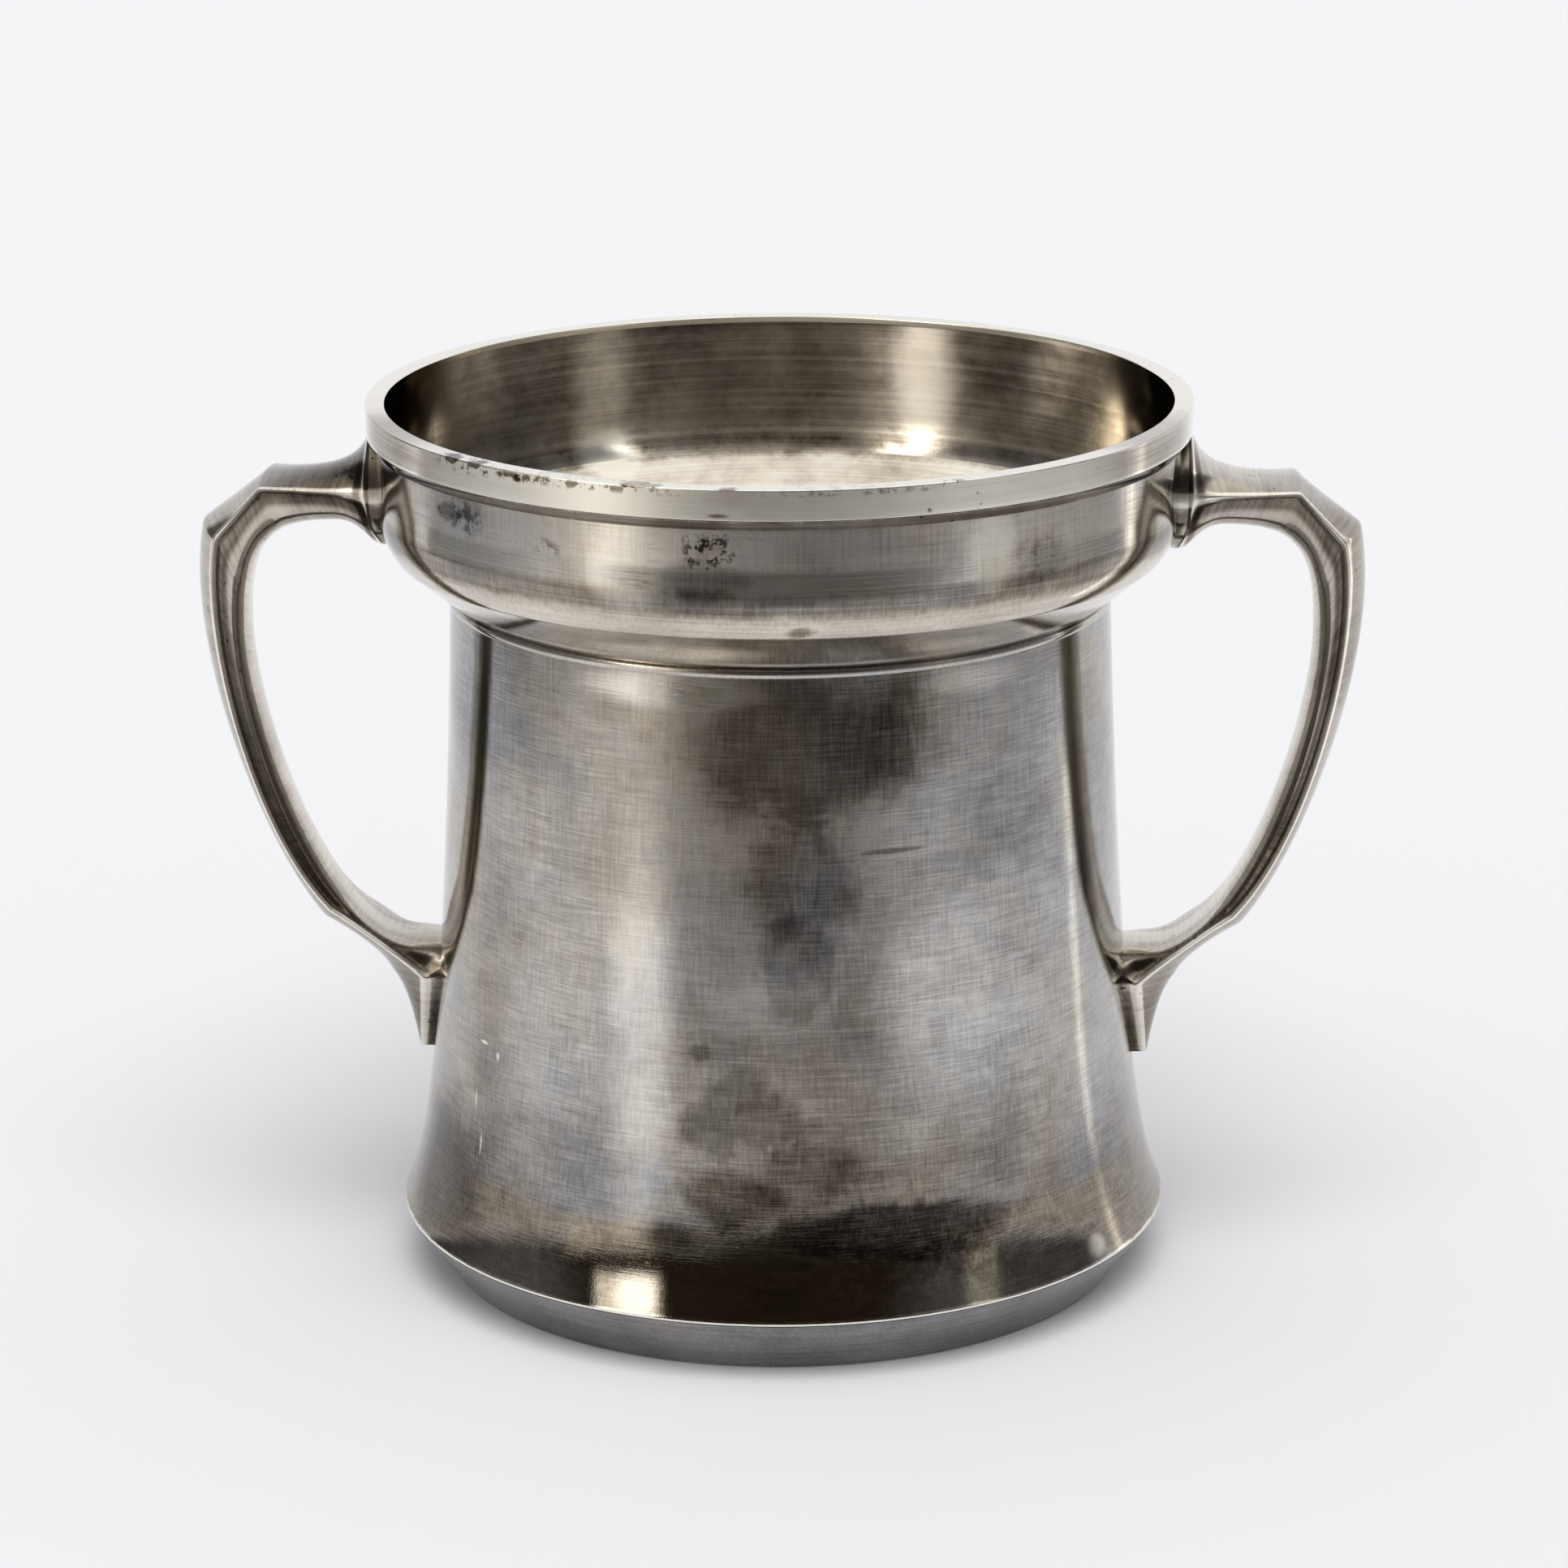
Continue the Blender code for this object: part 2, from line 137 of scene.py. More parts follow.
def addCamera():
    c = camera
    level = Vector((math.cos(c["yaw"]), -math.sin(c["yaw"]), 0))
    ahead = Vector((math.sin(c["yaw"]), math.cos(c["yaw"]), 0))
    up = Vector((0, 0, 1))
    forward = ahead * math.cos(c["pitch"]) - up * math.sin(c["pitch"])
    upright = ahead * math.sin(c["pitch"]) + up * math.cos(c["pitch"])
    right = level * math.cos(c["roll"]) + upright * math.sin(c["roll"])
    top = upright * math.cos(c["roll"]) - level * math.sin(c["roll"])
    place = Matrix((right, top, -forward)).transposed().to_4x4()
    place.translation = (0, -c["distance"], c["height"])
    data = bpy.data.cameras.new("camera")
    data.sensor_width = c["sensor"]
    data.lens = c["focal"] * c["sensor"] / c["pixels"]
    data.clip_start = c["near"]
    data.clip_end = c["far"]
    made = bpy.data.objects.new("camera", data)
    bpy.context.scene.collection.objects.link(made)
    made.matrix_world = Matrix.Rotation(c["azimuth"], 4, "Z") @ place
    bpy.context.scene.camera = made


addCamera()
print("camera placed")


# Turned pieces

rimRing = {"edge": 0.0004, "lean": 0.0002, "coveSteps": 10}


def coveLine():
    # the hollow under the rim's outer face, from its lower edge in to the collar
    v = vessel
    reach = v["rimR"] - v["collarR"] - rimRing["edge"]
    line = []
    for i in range(1, rimRing["coveSteps"] + 1):
        angle = math.pi / 2 * i / rimRing["coveSteps"]
        line.append((v["rimR"] - reach * math.sin(angle),
                     v["rimLowZ"] - v["cove"] * (1 - math.cos(angle))))
    return line


def makeRim():
    v, e = vessel, rimRing["edge"]
    shelf = v["rimTopZ"] - v["rimLip"]
    outline = [(v["mouthR"], v["rimTopZ"], e), (v["rimR"], v["rimTopZ"], e),
               (v["rimR"] - rimRing["lean"], v["rimLowZ"], e)]
    outline += plain(coveLine())
    outline += plain([(v["collarR"], v["rimLowZ"] - v["cove"]), (v["collarR"], shelf),
                      (v["mouthR"], shelf)])
    return addPiece("rimRing", turnedShape(outline), "rim_ring")


collar = {"cornerSteps": 20, "sleeveEdge": 0.0003, "boreEdge": 0.0015}


def collarLine(top):
    # down the wall, round the corner, and in along the straight shoulder
    v = vessel
    shoulderR = v["collarR"] - v["cornerR"] * (1 - math.cos(v["cornerTurn"]))
    shoulderZ = v["neckZ"] + (shoulderR - v["neckR"]) * v["shoulderRise"]
    centreR = v["collarR"] - v["cornerR"]
    centreZ = shoulderZ + v["cornerR"] * math.sin(v["cornerTurn"])
    line = [(v["collarR"], top)]
    for i in range(collar["cornerSteps"] + 1):
        angle = -v["cornerTurn"] * i / collar["cornerSteps"]
        line.append((centreR + v["cornerR"] * math.cos(angle),
                     centreZ + v["cornerR"] * math.sin(angle)))
    return line + [(v["neckR"], v["neckZ"])]


def makeCollar():
    # the wall, the shoulder, and a short sleeve inside the body's neck
    v = vessel
    outside = collarLine(v["rimTopZ"] - v["rimLip"])
    inside = offsetLine(outside, v["wall"])
    sleeveR = v["neckR"] - v["wall"]
    bore = sleeveR - v["wall"]
    lastR, lastZ = inside[-1]
    inside[-1] = (bore, lastZ - (lastR - bore) * v["shoulderRise"])
    low = v["neckZ"] - v["sleeve"]
    outline = plain(outside + [(sleeveR, v["neckZ"])])
    outline += [(sleeveR, low, collar["sleeveEdge"]), (bore, low, collar["sleeveEdge"]),
                (*inside[-1], collar["boreEdge"])]
    outline += plain(reversed(inside[:-1]))
    return addPiece("collar", turnedShape(outline), "collar")


neckWire = {"steps": 12, "sunk": 0.0003}


def makeNeckWire():
    # half an oval on the body, sunk a little into it
    v = vessel
    half = v["wireH"] / 2
    middle = v["neckZ"] - half
    face = bodyRadius(middle)
    back = face - neckWire["sunk"]
    points = [(back, middle + half)]
    for i in range(neckWire["steps"] + 1):
        angle = math.pi / 2 - math.pi * i / neckWire["steps"]
        points.append((face + v["wireT"] * math.cos(angle), middle + half * math.sin(angle)))
    points.append((back, middle - half))
    return addPiece("neckWire", turnedShape(plain(points)), "neck_wire")


body = {"steps": 56, "lip": 0.0009, "lipPoints": 4, "baseIn": 0.0005}


def bodyLine():
    # from the neck down to the lip, with closer points where the trumpet bends
    v = vessel
    line = []
    for i in range(body["steps"] + 1):
        share = math.sin(math.pi / 2 * i / body["steps"]) if i < body["steps"] else 1
        z = v["neckZ"] + (v["lipZ"] - v["neckZ"]) * share
        line.append((bodyRadius(z), z))
    return line


def makeBody():
    outside = bodyLine()
    inside = [(radius - vessel["wall"], z) for radius, z in outside]
    # the last points give way to a rounding, where polish has worn the sharp lip
    outline = plain(outside[:-body["lipPoints"]]) + [(*outside[-1], body["lip"])]
    outline += plain(reversed(inside[:-1]))
    return addPiece("body", turnedShape(outline), "body")


baseRing = {"footEdge": 0.0004, "holeEdge": 0.0003}


def makeBase():
    v = vessel
    # the body's rounded lip stands just proud of the bevel
    foot, lip = (v["footR"], 0), (v["lipR"] - body["baseIn"], v["lipZ"])
    inFoot, inLip = offsetLine([(v["lipR"], v["lipZ"]), (v["footR"], 0)], v["baseSheet"])[::-1]
    slope = (inLip[0] - inFoot[0]) / (inLip[1] - inFoot[1])
    top = v["lipZ"] + v["sleeve"]
    sleeveR = bodyRadius(top) - v["wall"]
    bore = sleeveR - v["baseSheet"]
    insideFoot = (inFoot[0] + slope * (v["baseSheet"] - inFoot[1]), v["baseSheet"])
    insideTop = (bore, inFoot[1] + (bore - inFoot[0]) / slope)
    outline = plain([(bore, top), (sleeveR, top), (sleeveR, v["lipZ"]), lip])
    outline += [(*foot, baseRing["footEdge"]), (v["footHoleR"], 0, baseRing["holeEdge"]),
                (v["footHoleR"], v["baseSheet"], baseRing["holeEdge"])]
    outline += plain([insideFoot, insideTop])
    return addPiece("baseRing", turnedShape(outline), "base_ring")


bottomPlate = {"edge": 0.0003, "edgeSteps": 2, "sameHeight": 1e-6}


def makeBottomPlate():
    v = vessel
    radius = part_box("bottom_plate")[1].x
    shape = bmesh.new()
    bmesh.ops.create_cone(shape, cap_ends=True, segments=v["turnSteps"], radius1=radius,
                          radius2=radius, depth=v["plate"],
                          matrix=Matrix.Translation((0, 0, v["baseSheet"] + v["plate"] / 2)))
    rims = [edge for edge in shape.edges
            if abs(edge.verts[0].co.z - edge.verts[1].co.z) < bottomPlate["sameHeight"]]
    bmesh.ops.bevel(shape, geom=rims, offset=bottomPlate["edge"],
                    segments=bottomPlate["edgeSteps"], profile=0.5, affect="EDGES", material=-1)
    return addPiece("bottomPlate", shape, "bottom_plate")


pieces = {"rim": makeRim(), "collar": makeCollar(), "wire": makeNeckWire(),
          "body": makeBody(), "base": makeBase(), "plate": makeBottomPlate()}
print("turned pieces made")


# Handles. The bow is seen from the side in three lines of Bezier curves, in
# tenths of a millimetre: the upper ones from the collar's wall at the round
# foot's centre, the lower ones from the body where the tail starts.
bow = {
    "unit": 0.0001, "footZ": 0.1955, "footR": 0.015, "footT": 0.0018, "tailZ": 0.0728,
    "tailLength": 0.0213, "tailEdge": 0.0026, "tipEdge": 0.003, "tipW": 0.0025,
    "topShare": 0.02, "sink": 0.009, "blend": 0.009,
    "outerArm": [(18, 150), (46, 31), (150, 44), (283, 23)],
    "outerBend": [(283, 23), (434, -88)],
    "outerGripTop": [(434, -88), (500, -391)],
    "outerGripLow": [(433, 312), (285, 129)],
    "outerRun": [(285, 129), (192, 79), (148, 37), (125, -5)],
    "outerTail": [(125, -5), (88, -54), (75, -111), (56, -213)],
    "edgeArm": [(18, 0), (63, 3), (143, 8), (278, 16)],
    "edgeBend": [(278, 16), (389, -108)],
    "edgeGripTop": [(389, -108), (437, -346)],
    "edgeGripLow": [(443, 367), (254, 170)],
    "edgeRun": [(254, 170), (189, 135), (6, -8), (26, 0)],
    "innerArm": [(-16, -150), (21, -161), (29, -88), (99, -88)],
    "innerBend": [(99, -88), (275, -88), (324, -146), (324, -353)],
    "innerGripTop": [(324, -353), (324, -606)],
    "innerGripLow": [(257, 42), (42, 82)],
    "corners": (0.179, 0.3, 0.785),
    "armW": 0.0138, "gripW": 0.0142, "runW": 0.0128, "tailW": 0.0145,
    "section": [(1, 0), (0.865, 0.1), (0.8, 0.22), (0.785, 0.38), (0.72, 0.6), (0.55, 0.82),
                (0.3, 0.95), (0, 1)],
    "faceSteps": 14, "flankSteps": 18, "curveSteps": 64,
    "armStations": 22, "bendStations": 10, "gripStations": 40, "runStations": 24,
    "tailStations": 20, "armCrowd": 1.5, "tailBlend": 0.0016, "cornerGap": 0.0004,
    "softReach": 4, "softSweeps": 3, "footEdge": 0.0003, "footEdgeSteps": 3,
    "arris": 0.0008, "arrisShare": 0.25, "arrisSteps": 4, "seat": 0.0005,
}


def upper(points):
    start = Vector((vessel["collarR"], bow["footZ"]))
    return [start + Vector(point) * bow["unit"] for point in points]


def lower(points):
    start = Vector((bodyRadius(bow["tailZ"]), bow["tailZ"]))
    return [start + Vector(point) * bow["unit"] for point in points]


def curveLine(controls):
    # points along a straight line of two controls or a curve of four
    steps = bow["curveSteps"]
    if len(controls) == 2:
        return [controls[0].lerp(controls[1], i / steps) for i in range(steps + 1)]
    return [Vector(p[:2]) for p in interpolate_bezier(*controls, steps + 1)]


def lineLength(line):
    return sum((b - a).length for a, b in zip(line, line[1:]))


def atShare(line, share):
    # the point at a share of a line's length
    lengths = [0.0]
    for a, b in zip(line, line[1:]):
        lengths.append(lengths[-1] + (b - a).length)
    wanted = share * lengths[-1]
    k = 0
    while k < len(line) - 2 and lengths[k + 1] < wanted:
        k += 1
    return line[k].lerp(line[k + 1], (wanted - lengths[k]) / (lengths[k + 1] - lengths[k]))


def sectionPoint(share):
    # a smooth curve through the section's points
    points = bow["section"]
    place = share * (len(points) - 1)
    k = min(int(place), len(points) - 2)
    t = place - k
    a, b = Vector(points[max(k - 1, 0)]), Vector(points[k])
    c, d = Vector(points[k + 1]), Vector(points[min(k + 2, len(points) - 1)])
    if k == 0:
        a = b * 2 - c
    if k == len(points) - 2:
        d = Vector((-b.x, b.y))
    return ((b * 2 + (c - a) * t + (a * 2 - b * 5 + c * 4 - d) * t * t
             + (b * 3 - a - c * 3 + d) * t ** 3) / 2)


def placed(point, across):
    return Vector((point.x, across, point.y))


def sectionLoop(outer, edge, inner, halfWidth, tail, roundness):
    # broad face, sharp edges and finger side; roundness 1 is the round foot
    face, flank = [], [placed(edge, halfWidth)]
    for k in range(bow["faceSteps"] + 1):
        across = math.sin(math.pi / 2 * k / bow["faceSteps"])
        crown = max(0, 1 - across * across) ** (1 - 0.5 * roundness)
        face.append(placed(edge + (outer - edge) * crown, across * halfWidth))
    for k in range(1, bow["flankSteps"] + 1):
        share = k / bow["flankSteps"]
        across, depth = sectionPoint(share)
        angle = math.pi / 2 * share
        across += (math.cos(angle) - across) * roundness
        depth += (math.sin(angle) - depth) * roundness
        # the tail's straight side, then its back inside the vessel
        square = (1, share * 2) if share <= 0.5 else (2 - share * 2, 1)
        across += (square[0] - across) * tail
        depth += (square[1] - depth) * tail
        flank.append(placed(edge + (inner - edge) * depth, across * halfWidth))
    # the worn edge is an arc between the two
    faceLength, flankLength = lineLength(face), lineLength(flank)
    worn = min(bow["arris"], bow["arrisShare"] * min(faceLength, flankLength))
    face = [atShare(face, (1 - worn / faceLength) * k / bow["faceSteps"])
            for k in range(bow["faceSteps"] + 1)]
    left = worn / flankLength
    flank = [atShare(flank, left + (1 - left) * k / bow["flankSteps"])
             for k in range(bow["flankSteps"] + 1)]
    corner = placed(edge, halfWidth)
    arc = []
    for i in range(1, bow["arrisSteps"]):
        t = i / bow["arrisSteps"]
        arc.append(face[-1] * (1 - t) ** 2 + corner * 2 * t * (1 - t) + flank[0] * t * t)
    near = face + arc + flank
    return near + [Vector((p.x, -p.y, p.z)) for p in reversed(near[1:-1])]


def footFace(z):
    # outer edge of the round foot, which follows the collar's profile
    line = offsetLine(collarLine(vessel["rimTopZ"]), -bow["footT"])
    for (r0, z0), (r1, z1) in zip(line, line[1:]):
        if z1 <= z <= z0:
            return r0 + (r1 - r0) * (z0 - z) / (z0 - z1)
    return line[0][0]


def stationShares(line, count, crowd, nearStart):
    # stations along a line, with a few more beside the corners at its ends
    gap = bow["cornerGap"] / lineLength(line)
    shares = [(i / count) ** crowd for i in range(1, count + 1)]
    for k in (1, 2, 3):
        shares.append(1 - gap * k)
        if nearStart:
            shares.append(gap * k)
    return sorted(shares)


def tailShare(z):
    # 0 above the tail, 1 on it, with a smooth change between
    share = 0.5 - (z - bow["tailZ"]) / (2 * bow["tailBlend"])
    share = min(max(share, 0.0), 1.0)
    return share * share * (3 - 2 * share)


def softenCorners(rows, corners):
    # soft bends, not creases
    reach = bow["softReach"]
    for corner in corners:
        for _ in range(bow["softSweeps"]):
            kept = [[p.copy() for p in row] for row in rows[corner - reach:corner + reach + 1]]
            for i in range(1, 2 * reach):
                for k, point in enumerate(rows[corner - reach + i]):
                    point[:] = (kept[i - 1][k] + kept[i][k] * 2 + kept[i + 1][k]) / 4


def bowSections():
    # the bow's rows of points, from inside the collar to the tail's tip
    b = bow
    arm, armEdge = curveLine(upper(b["outerArm"])), curveLine(upper(b["edgeArm"]))
    finger = (curveLine(upper(b["innerArm"]))[:-1] + curveLine(upper(b["innerBend"]))[:-1]
              + curveLine(upper(b["innerGripTop"]) + lower(b["innerGripLow"])))
    finger.append(finger[-1] - Vector((b["sink"], 0)))
    backwards = Vector((-b["sink"], 0))
    first, second, third = b["corners"]
    # outer line, edge line, shares of the finger side, half widths, stations, crowding
    spans = [
        (arm, armEdge, 0.0, first, b["armW"], b["armW"], b["armStations"], b["armCrowd"]),
        (curveLine(upper(b["outerBend"])), curveLine(upper(b["edgeBend"])),
         first, second, b["armW"], b["gripW"], b["bendStations"], 1),
        (curveLine(upper(b["outerGripTop"]) + lower(b["outerGripLow"])),
         curveLine(upper(b["edgeGripTop"]) + lower(b["edgeGripLow"])),
         second, third, b["gripW"], b["runW"], b["gripStations"], 1),
        (curveLine(lower(b["outerRun"])), curveLine(lower(b["edgeRun"])),
         third, 1.0, b["runW"], b["tailW"], b["runStations"], 1),
    ]
    foot = sectionLoop(arm[0], armEdge[0], finger[0], b["footR"], 0, 1.0)
    rows = [[Vector((vessel["collarR"] - b["sink"], p.y, p.z)) for p in foot],
            [Vector((footFace(p.z) - b["footT"] / 2, p.y, p.z)) for p in foot],
            [Vector((footFace(p.z), p.y, p.z)) for p in foot]]
    corners = []
    for outer, edge, start, end, width, endWidth, count, crowd in spans:
        for share in stationShares(outer, count, crowd, outer is not arm):
            edgePoint = atShare(edge, share)
            roundness = max(0.0, 1 - (edgePoint - armEdge[0]).length / b["blend"]) ** 2
            half = width + (endWidth - width) * share
            half += (b["footR"] - half) * roundness
            inner = atShare(finger, start + (end - start) * share)
            tailed = tailShare(edgePoint.y) if end == 1.0 else 0.0
            inner = inner.lerp(edgePoint + backwards, tailed)
            rows.append(sectionLoop(atShare(outer, share), edgePoint, inner, half, tailed,
                                    roundness))
        corners.append(len(rows) - 1)
    softenCorners(rows, corners[:3])
    root, tip = bodyRadius(b["tailZ"]), bodyRadius(b["tailZ"] - b["tailLength"])
    startEdge = Vector((root + b["tailEdge"], b["tailZ"]))
    endEdge = Vector((tip + b["tipEdge"], b["tailZ"] - b["tailLength"]))
    tail = curveLine(lower(b["outerTail"]))
    armLast = curveLine(lower(b["edgeRun"]))[-1]
    for i in range(b["tailStations"] + 1):
        share = b["topShare"] + (1 - b["topShare"]) * i / b["tailStations"]
        edgePoint = startEdge.lerp(endEdge, share)
        tailed = tailShare(edgePoint.y)
        inner = (edgePoint + finger[-1] - armLast).lerp(edgePoint + backwards, tailed)
        rows.append(sectionLoop(atShare(tail, share), edgePoint, inner,
                                b["tailW"] + (b["tipW"] - b["tailW"]) * share, tailed, 0.0))
    return rows


def bowShape(rows):
    shape = bmesh.new()
    rings = []
    for points in rows:
        row = [shape.verts.new(point) for point in points]
        ring = [shape.edges.new((p, q)) for p, q in zip(row, row[1:] + row[:1])]
        if rings:
            bmesh.ops.bridge_loops(shape, edges=rings[-1] + ring)
        rings.append(ring)
    for ring in (rings[0], rings[-1]):
        bmesh.ops.edgeloop_fill(shape, edges=ring)
    bmesh.ops.recalc_face_normals(shape, faces=shape.faces)
    # the third ring is the round foot's outer edge
    bmesh.ops.bevel(shape, geom=rings[2], offset=bow["footEdge"], segments=bow["footEdgeSteps"],
                    profile=0.5, affect="EDGES", material=-1, clamp_overlap=True)
    return shape


def vesselRoom():
    # everything inside the vessel, to half a millimetre under its outside
    v = vessel
    low = v["rimLowZ"] - v["cove"]
    line = [(v["rimR"], v["rimTopZ"]), (v["rimR"], v["rimLowZ"])] + coveLine()
    line += collarLine(low)[1:] + bodyLine()[1:]
    outside = offsetLine(line, bow["seat"])
    outline = [(0, v["rimTopZ"])] + outside + [(0, v["lipZ"])]
    return turnedShape(plain(outline))


def cutToVessel(shape):
    # what lies inside the vessel's room comes off the bow
    uncut, room = meshObject("uncutBow", shape), meshObject("room", vesselRoom())
    cut = uncut.modifiers.new("fit to the vessel", "BOOLEAN")
    cut.operation = "DIFFERENCE"
    cut.solver = "EXACT"
    cut.object = room
    bpy.context.view_layer.update()
    fitted = bmesh.new()
    fitted.from_mesh(uncut.evaluated_get(bpy.context.evaluated_depsgraph_get()).to_mesh())
    for item in (uncut, room):
        bpy.data.objects.remove(item, do_unlink=True)
    return fitted


def noteSection(piece, rows, turnedRound):
    # each point of a bow learns where it lies: along the bow, and round its section from
    # the middle of the face (0) over the sharp edge (1) to the finger side (2)
    tree = KDTree(sum(len(row) for row in rows))
    places, along, before = [], 0.0, None
    side, around = bow["faceSteps"], len(rows[0])
    worn = side + bow["arrisSteps"]
    for row in rows:
        middle = sum(row, Vector()) / around
        along += (middle - before).length if before else 0.0
        before = middle
        for k, point in enumerate(row):
            j = min(k, around - k)
            turn = min(j / side, 1) + max(0, (j - worn) / bow["flankSteps"])
            tree.insert(point, len(places))
            places.append((along, turn))
    tree.balance()
    length = piece.data.attributes.new("along", "FLOAT", "POINT")
    turned = piece.data.attributes.new("turn", "FLOAT", "POINT")
    for i, vert in enumerate(piece.data.vertices):
        point = Vector((-vert.co.x, -vert.co.y, vert.co.z)) if turnedRound else vert.co
        nearest = tree.find(point)[1]
        length.data[i].value, turned.data[i].value = places[nearest]


bowRows = bowSections()
rightBow = cutToVessel(bowShape(bowRows))
leftBow = rightBow.copy()
bmesh.ops.rotate(leftBow, verts=leftBow.verts, cent=(0, 0, 0),
                 matrix=Matrix.Rotation(math.pi, 3, "Z"))
pieces["right"] = addPiece("rightHandle", rightBow, "handle_right")
pieces["left"] = addPiece("leftHandle", leftBow, "handle_left")
noteSection(pieces["right"], bowRows, False)
noteSection(pieces["left"], bowRows, True)
print("handles made,", len(pieces["right"].data.polygons), "faces each")


# Finishes

def newMaterial(name):
    made = bpy.data.materials.new(name)
    made.use_nodes = True
    return made, made.node_tree


def addNode(tree, kind, settings=None, **links):
    # one node with its settings; a socket by its name, or by i and its number, takes a
    # link or a value
    node = tree.nodes.new("ShaderNode" + kind)
    for name, value in (settings or {}).items():
        setattr(node, name, value)
    for name, value in links.items():
        key = int(name[1:]) if name[1:].isdigit() else name.replace("_", " ")
        socket = node.inputs[key]
        if isinstance(value, bpy.types.NodeSocket):
            tree.links.new(value, socket)
        else:
            socket.default_value = value
    return node


def vectorMaths(tree, operation, first, second=(0, 0, 0), result="Vector"):
    return addNode(tree, "VectorMath", {"operation": operation}, i0=first,
                   i1=second).outputs[result]


def maths(tree, operation, first, second=0.0, third=0.0, clamp=False):
    return addNode(tree, "Math", {"operation": operation, "use_clamp": clamp},
                   i0=first, i1=second, i2=third).outputs[0]


def ranged(tree, value, low, high, toLow=0.0, toHigh=1.0):
    return addNode(tree, "MapRange", {"interpolation_type": "SMOOTHSTEP"}, Value=value,
                   From_Min=low, From_Max=high, To_Min=toLow, To_Max=toHigh).outputs[0]


def stretched(tree, coords, scale, place=(0, 0, 0)):
    return addNode(tree, "Mapping", Vector=coords, Scale=scale,
                   Location=place).outputs[0]


def noise(tree, coords, scale, detail=4.0, rough=0.55, twist=0.0):
    return addNode(tree, "TexNoise", Vector=coords, Scale=scale, Detail=detail,
                   Roughness=rough, Distortion=twist).outputs["Fac"]


def attribute(tree, name):
    return addNode(tree, "Attribute", {"attribute_name": name}).outputs["Fac"]


def mixed(tree, first, second, share):
    return addNode(tree, "Mix", {"data_type": "RGBA"}, i0=share, i6=first,
                   i7=second).outputs[2]


def addNoise(tree, total, value, amount):
    # a noise about zero, added to a total by an amount
    return maths(tree, "MULTIPLY_ADD", maths(tree, "SUBTRACT", value, 0.5), amount, total)


# What all the finishes share: scales in waves a metre, ranges from where a noise starts
# to count to where it does in full, and for bands, in half widths, how far noise moves
# the edge, where it starts and where it is full.
texture = {
    "hueScale": 22.0, "hueRange": (0.32, 0.68), "wobbleScale": 190.0, "driftScale": 42.0,
    "smallPatch": 0.008, "patchEdge": 0.8, "patchSoft": 0.45,
    "speckScale": 330.0, "speckRange": (0.49, 0.56), "pitScale": 650.0,
    "pitRange": (0.65, 0.71), "gatherScale": 38.0, "gatherRange": (0.52, 0.64),
    "stripe": (1.0, 1.4, 0.4), "band": (1.2, 1.3, 0.5), "coolBand": (0.0, 1.0, 0.6),
    "smoothBand": (0.25, 1.0, 0.7), "levelRough": 0.5, "cloudRough": 0.6,
    "facingRange": (0.25, 0.65), "facingShare": 0.15, "mottleBump": 0.02,
    "bumpStrength": 0.5, "bumpDepth": 0.001, "quarterTurn": 0.25,
}


def onVessel(angle, radius, z):
    # a point on the vessel: degrees round from the front to the right, and a height
    turn = math.radians(angle) + camera["azimuth"]
    return (radius * math.sin(turn), -radius * math.cos(turn), z)


def blots(*rows):
    # patches by angle, radius and height on the vessel, then what patchMask takes
    return [(onVessel(*row[:3]), *row[3:]) for row in rows]


def patchMask(tree, coords, wobble, patch):
    # a soft blot: centre, half width, half height, strength and edge wobble; the more
    # ragged it is, the crisper
    centre, width, height, strength, rag = patch
    away = vectorMaths(tree, "SUBTRACT", coords, centre)
    away = vectorMaths(tree, "MULTIPLY", away, (1 / width, 1 / width, 1 / height))
    reach = vectorMaths(tree, "LENGTH", away, result="Value")
    reach = maths(tree, "MULTIPLY_ADD", wobble, rag, reach)
    edge, soft = texture["patchEdge"], texture["patchSoft"] / max(1.0, rag)
    return ranged(tree, reach, edge + soft, edge - soft, 0.0, strength)


def bandMask(tree, where, place, half, wobble, kind, full, outside=0.0):
    # a band across a value, with one of the texture's edges
    rag, outer, inner = texture[kind]
    away = maths(tree, "ABSOLUTE", maths(tree, "SUBTRACT", where, place))
    away = maths(tree, "MULTIPLY_ADD", wobble, half * rag, away)
    return ranged(tree, away, half * outer, half * inner, outside, full)


def finishNoises(tree, coords, finish):
    # the noises that one finish is mixed from
    t, brushed = texture, coords
    if finish.get("alongBow"):
        # strokes across a bow, by its own length
        across = addNode(tree, "SeparateXYZ", Vector=coords).outputs["Y"]
        brushed = addNode(tree, "CombineXYZ", X=attribute(tree, "along"),
                          Y=across).outputs[0]
    return {
        "clouds": noise(tree, coords, finish["cloudScale"], detail=5.0, rough=0.52, twist=0.5),
        "mottle": noise(tree, stretched(tree, coords, (1, 1, 1.3), (3, 1, 2)),
                        finish["mottleScale"], detail=8.0, rough=0.66, twist=0.3),
        "level": noise(tree, stretched(tree, brushed, finish["levelScale"]), 1.0, rough=0.7),
        "upright": noise(tree, stretched(tree, coords, finish["uprightScale"]), 1.0, rough=0.7),
        "hue": noise(tree, stretched(tree, coords, (1, 1, 0.8), (9, 4, 6)), t["hueScale"],
                     rough=0.6, twist=0.6),
        "wobble": maths(tree, "SUBTRACT", noise(tree, coords, t["wobbleScale"], detail=6.0,
                                                rough=0.7), 0.5),
        "drift": maths(tree, "SUBTRACT", noise(tree, coords, t["driftScale"], detail=7.0,
                                               rough=0.62, twist=0.4), 0.5),
    }


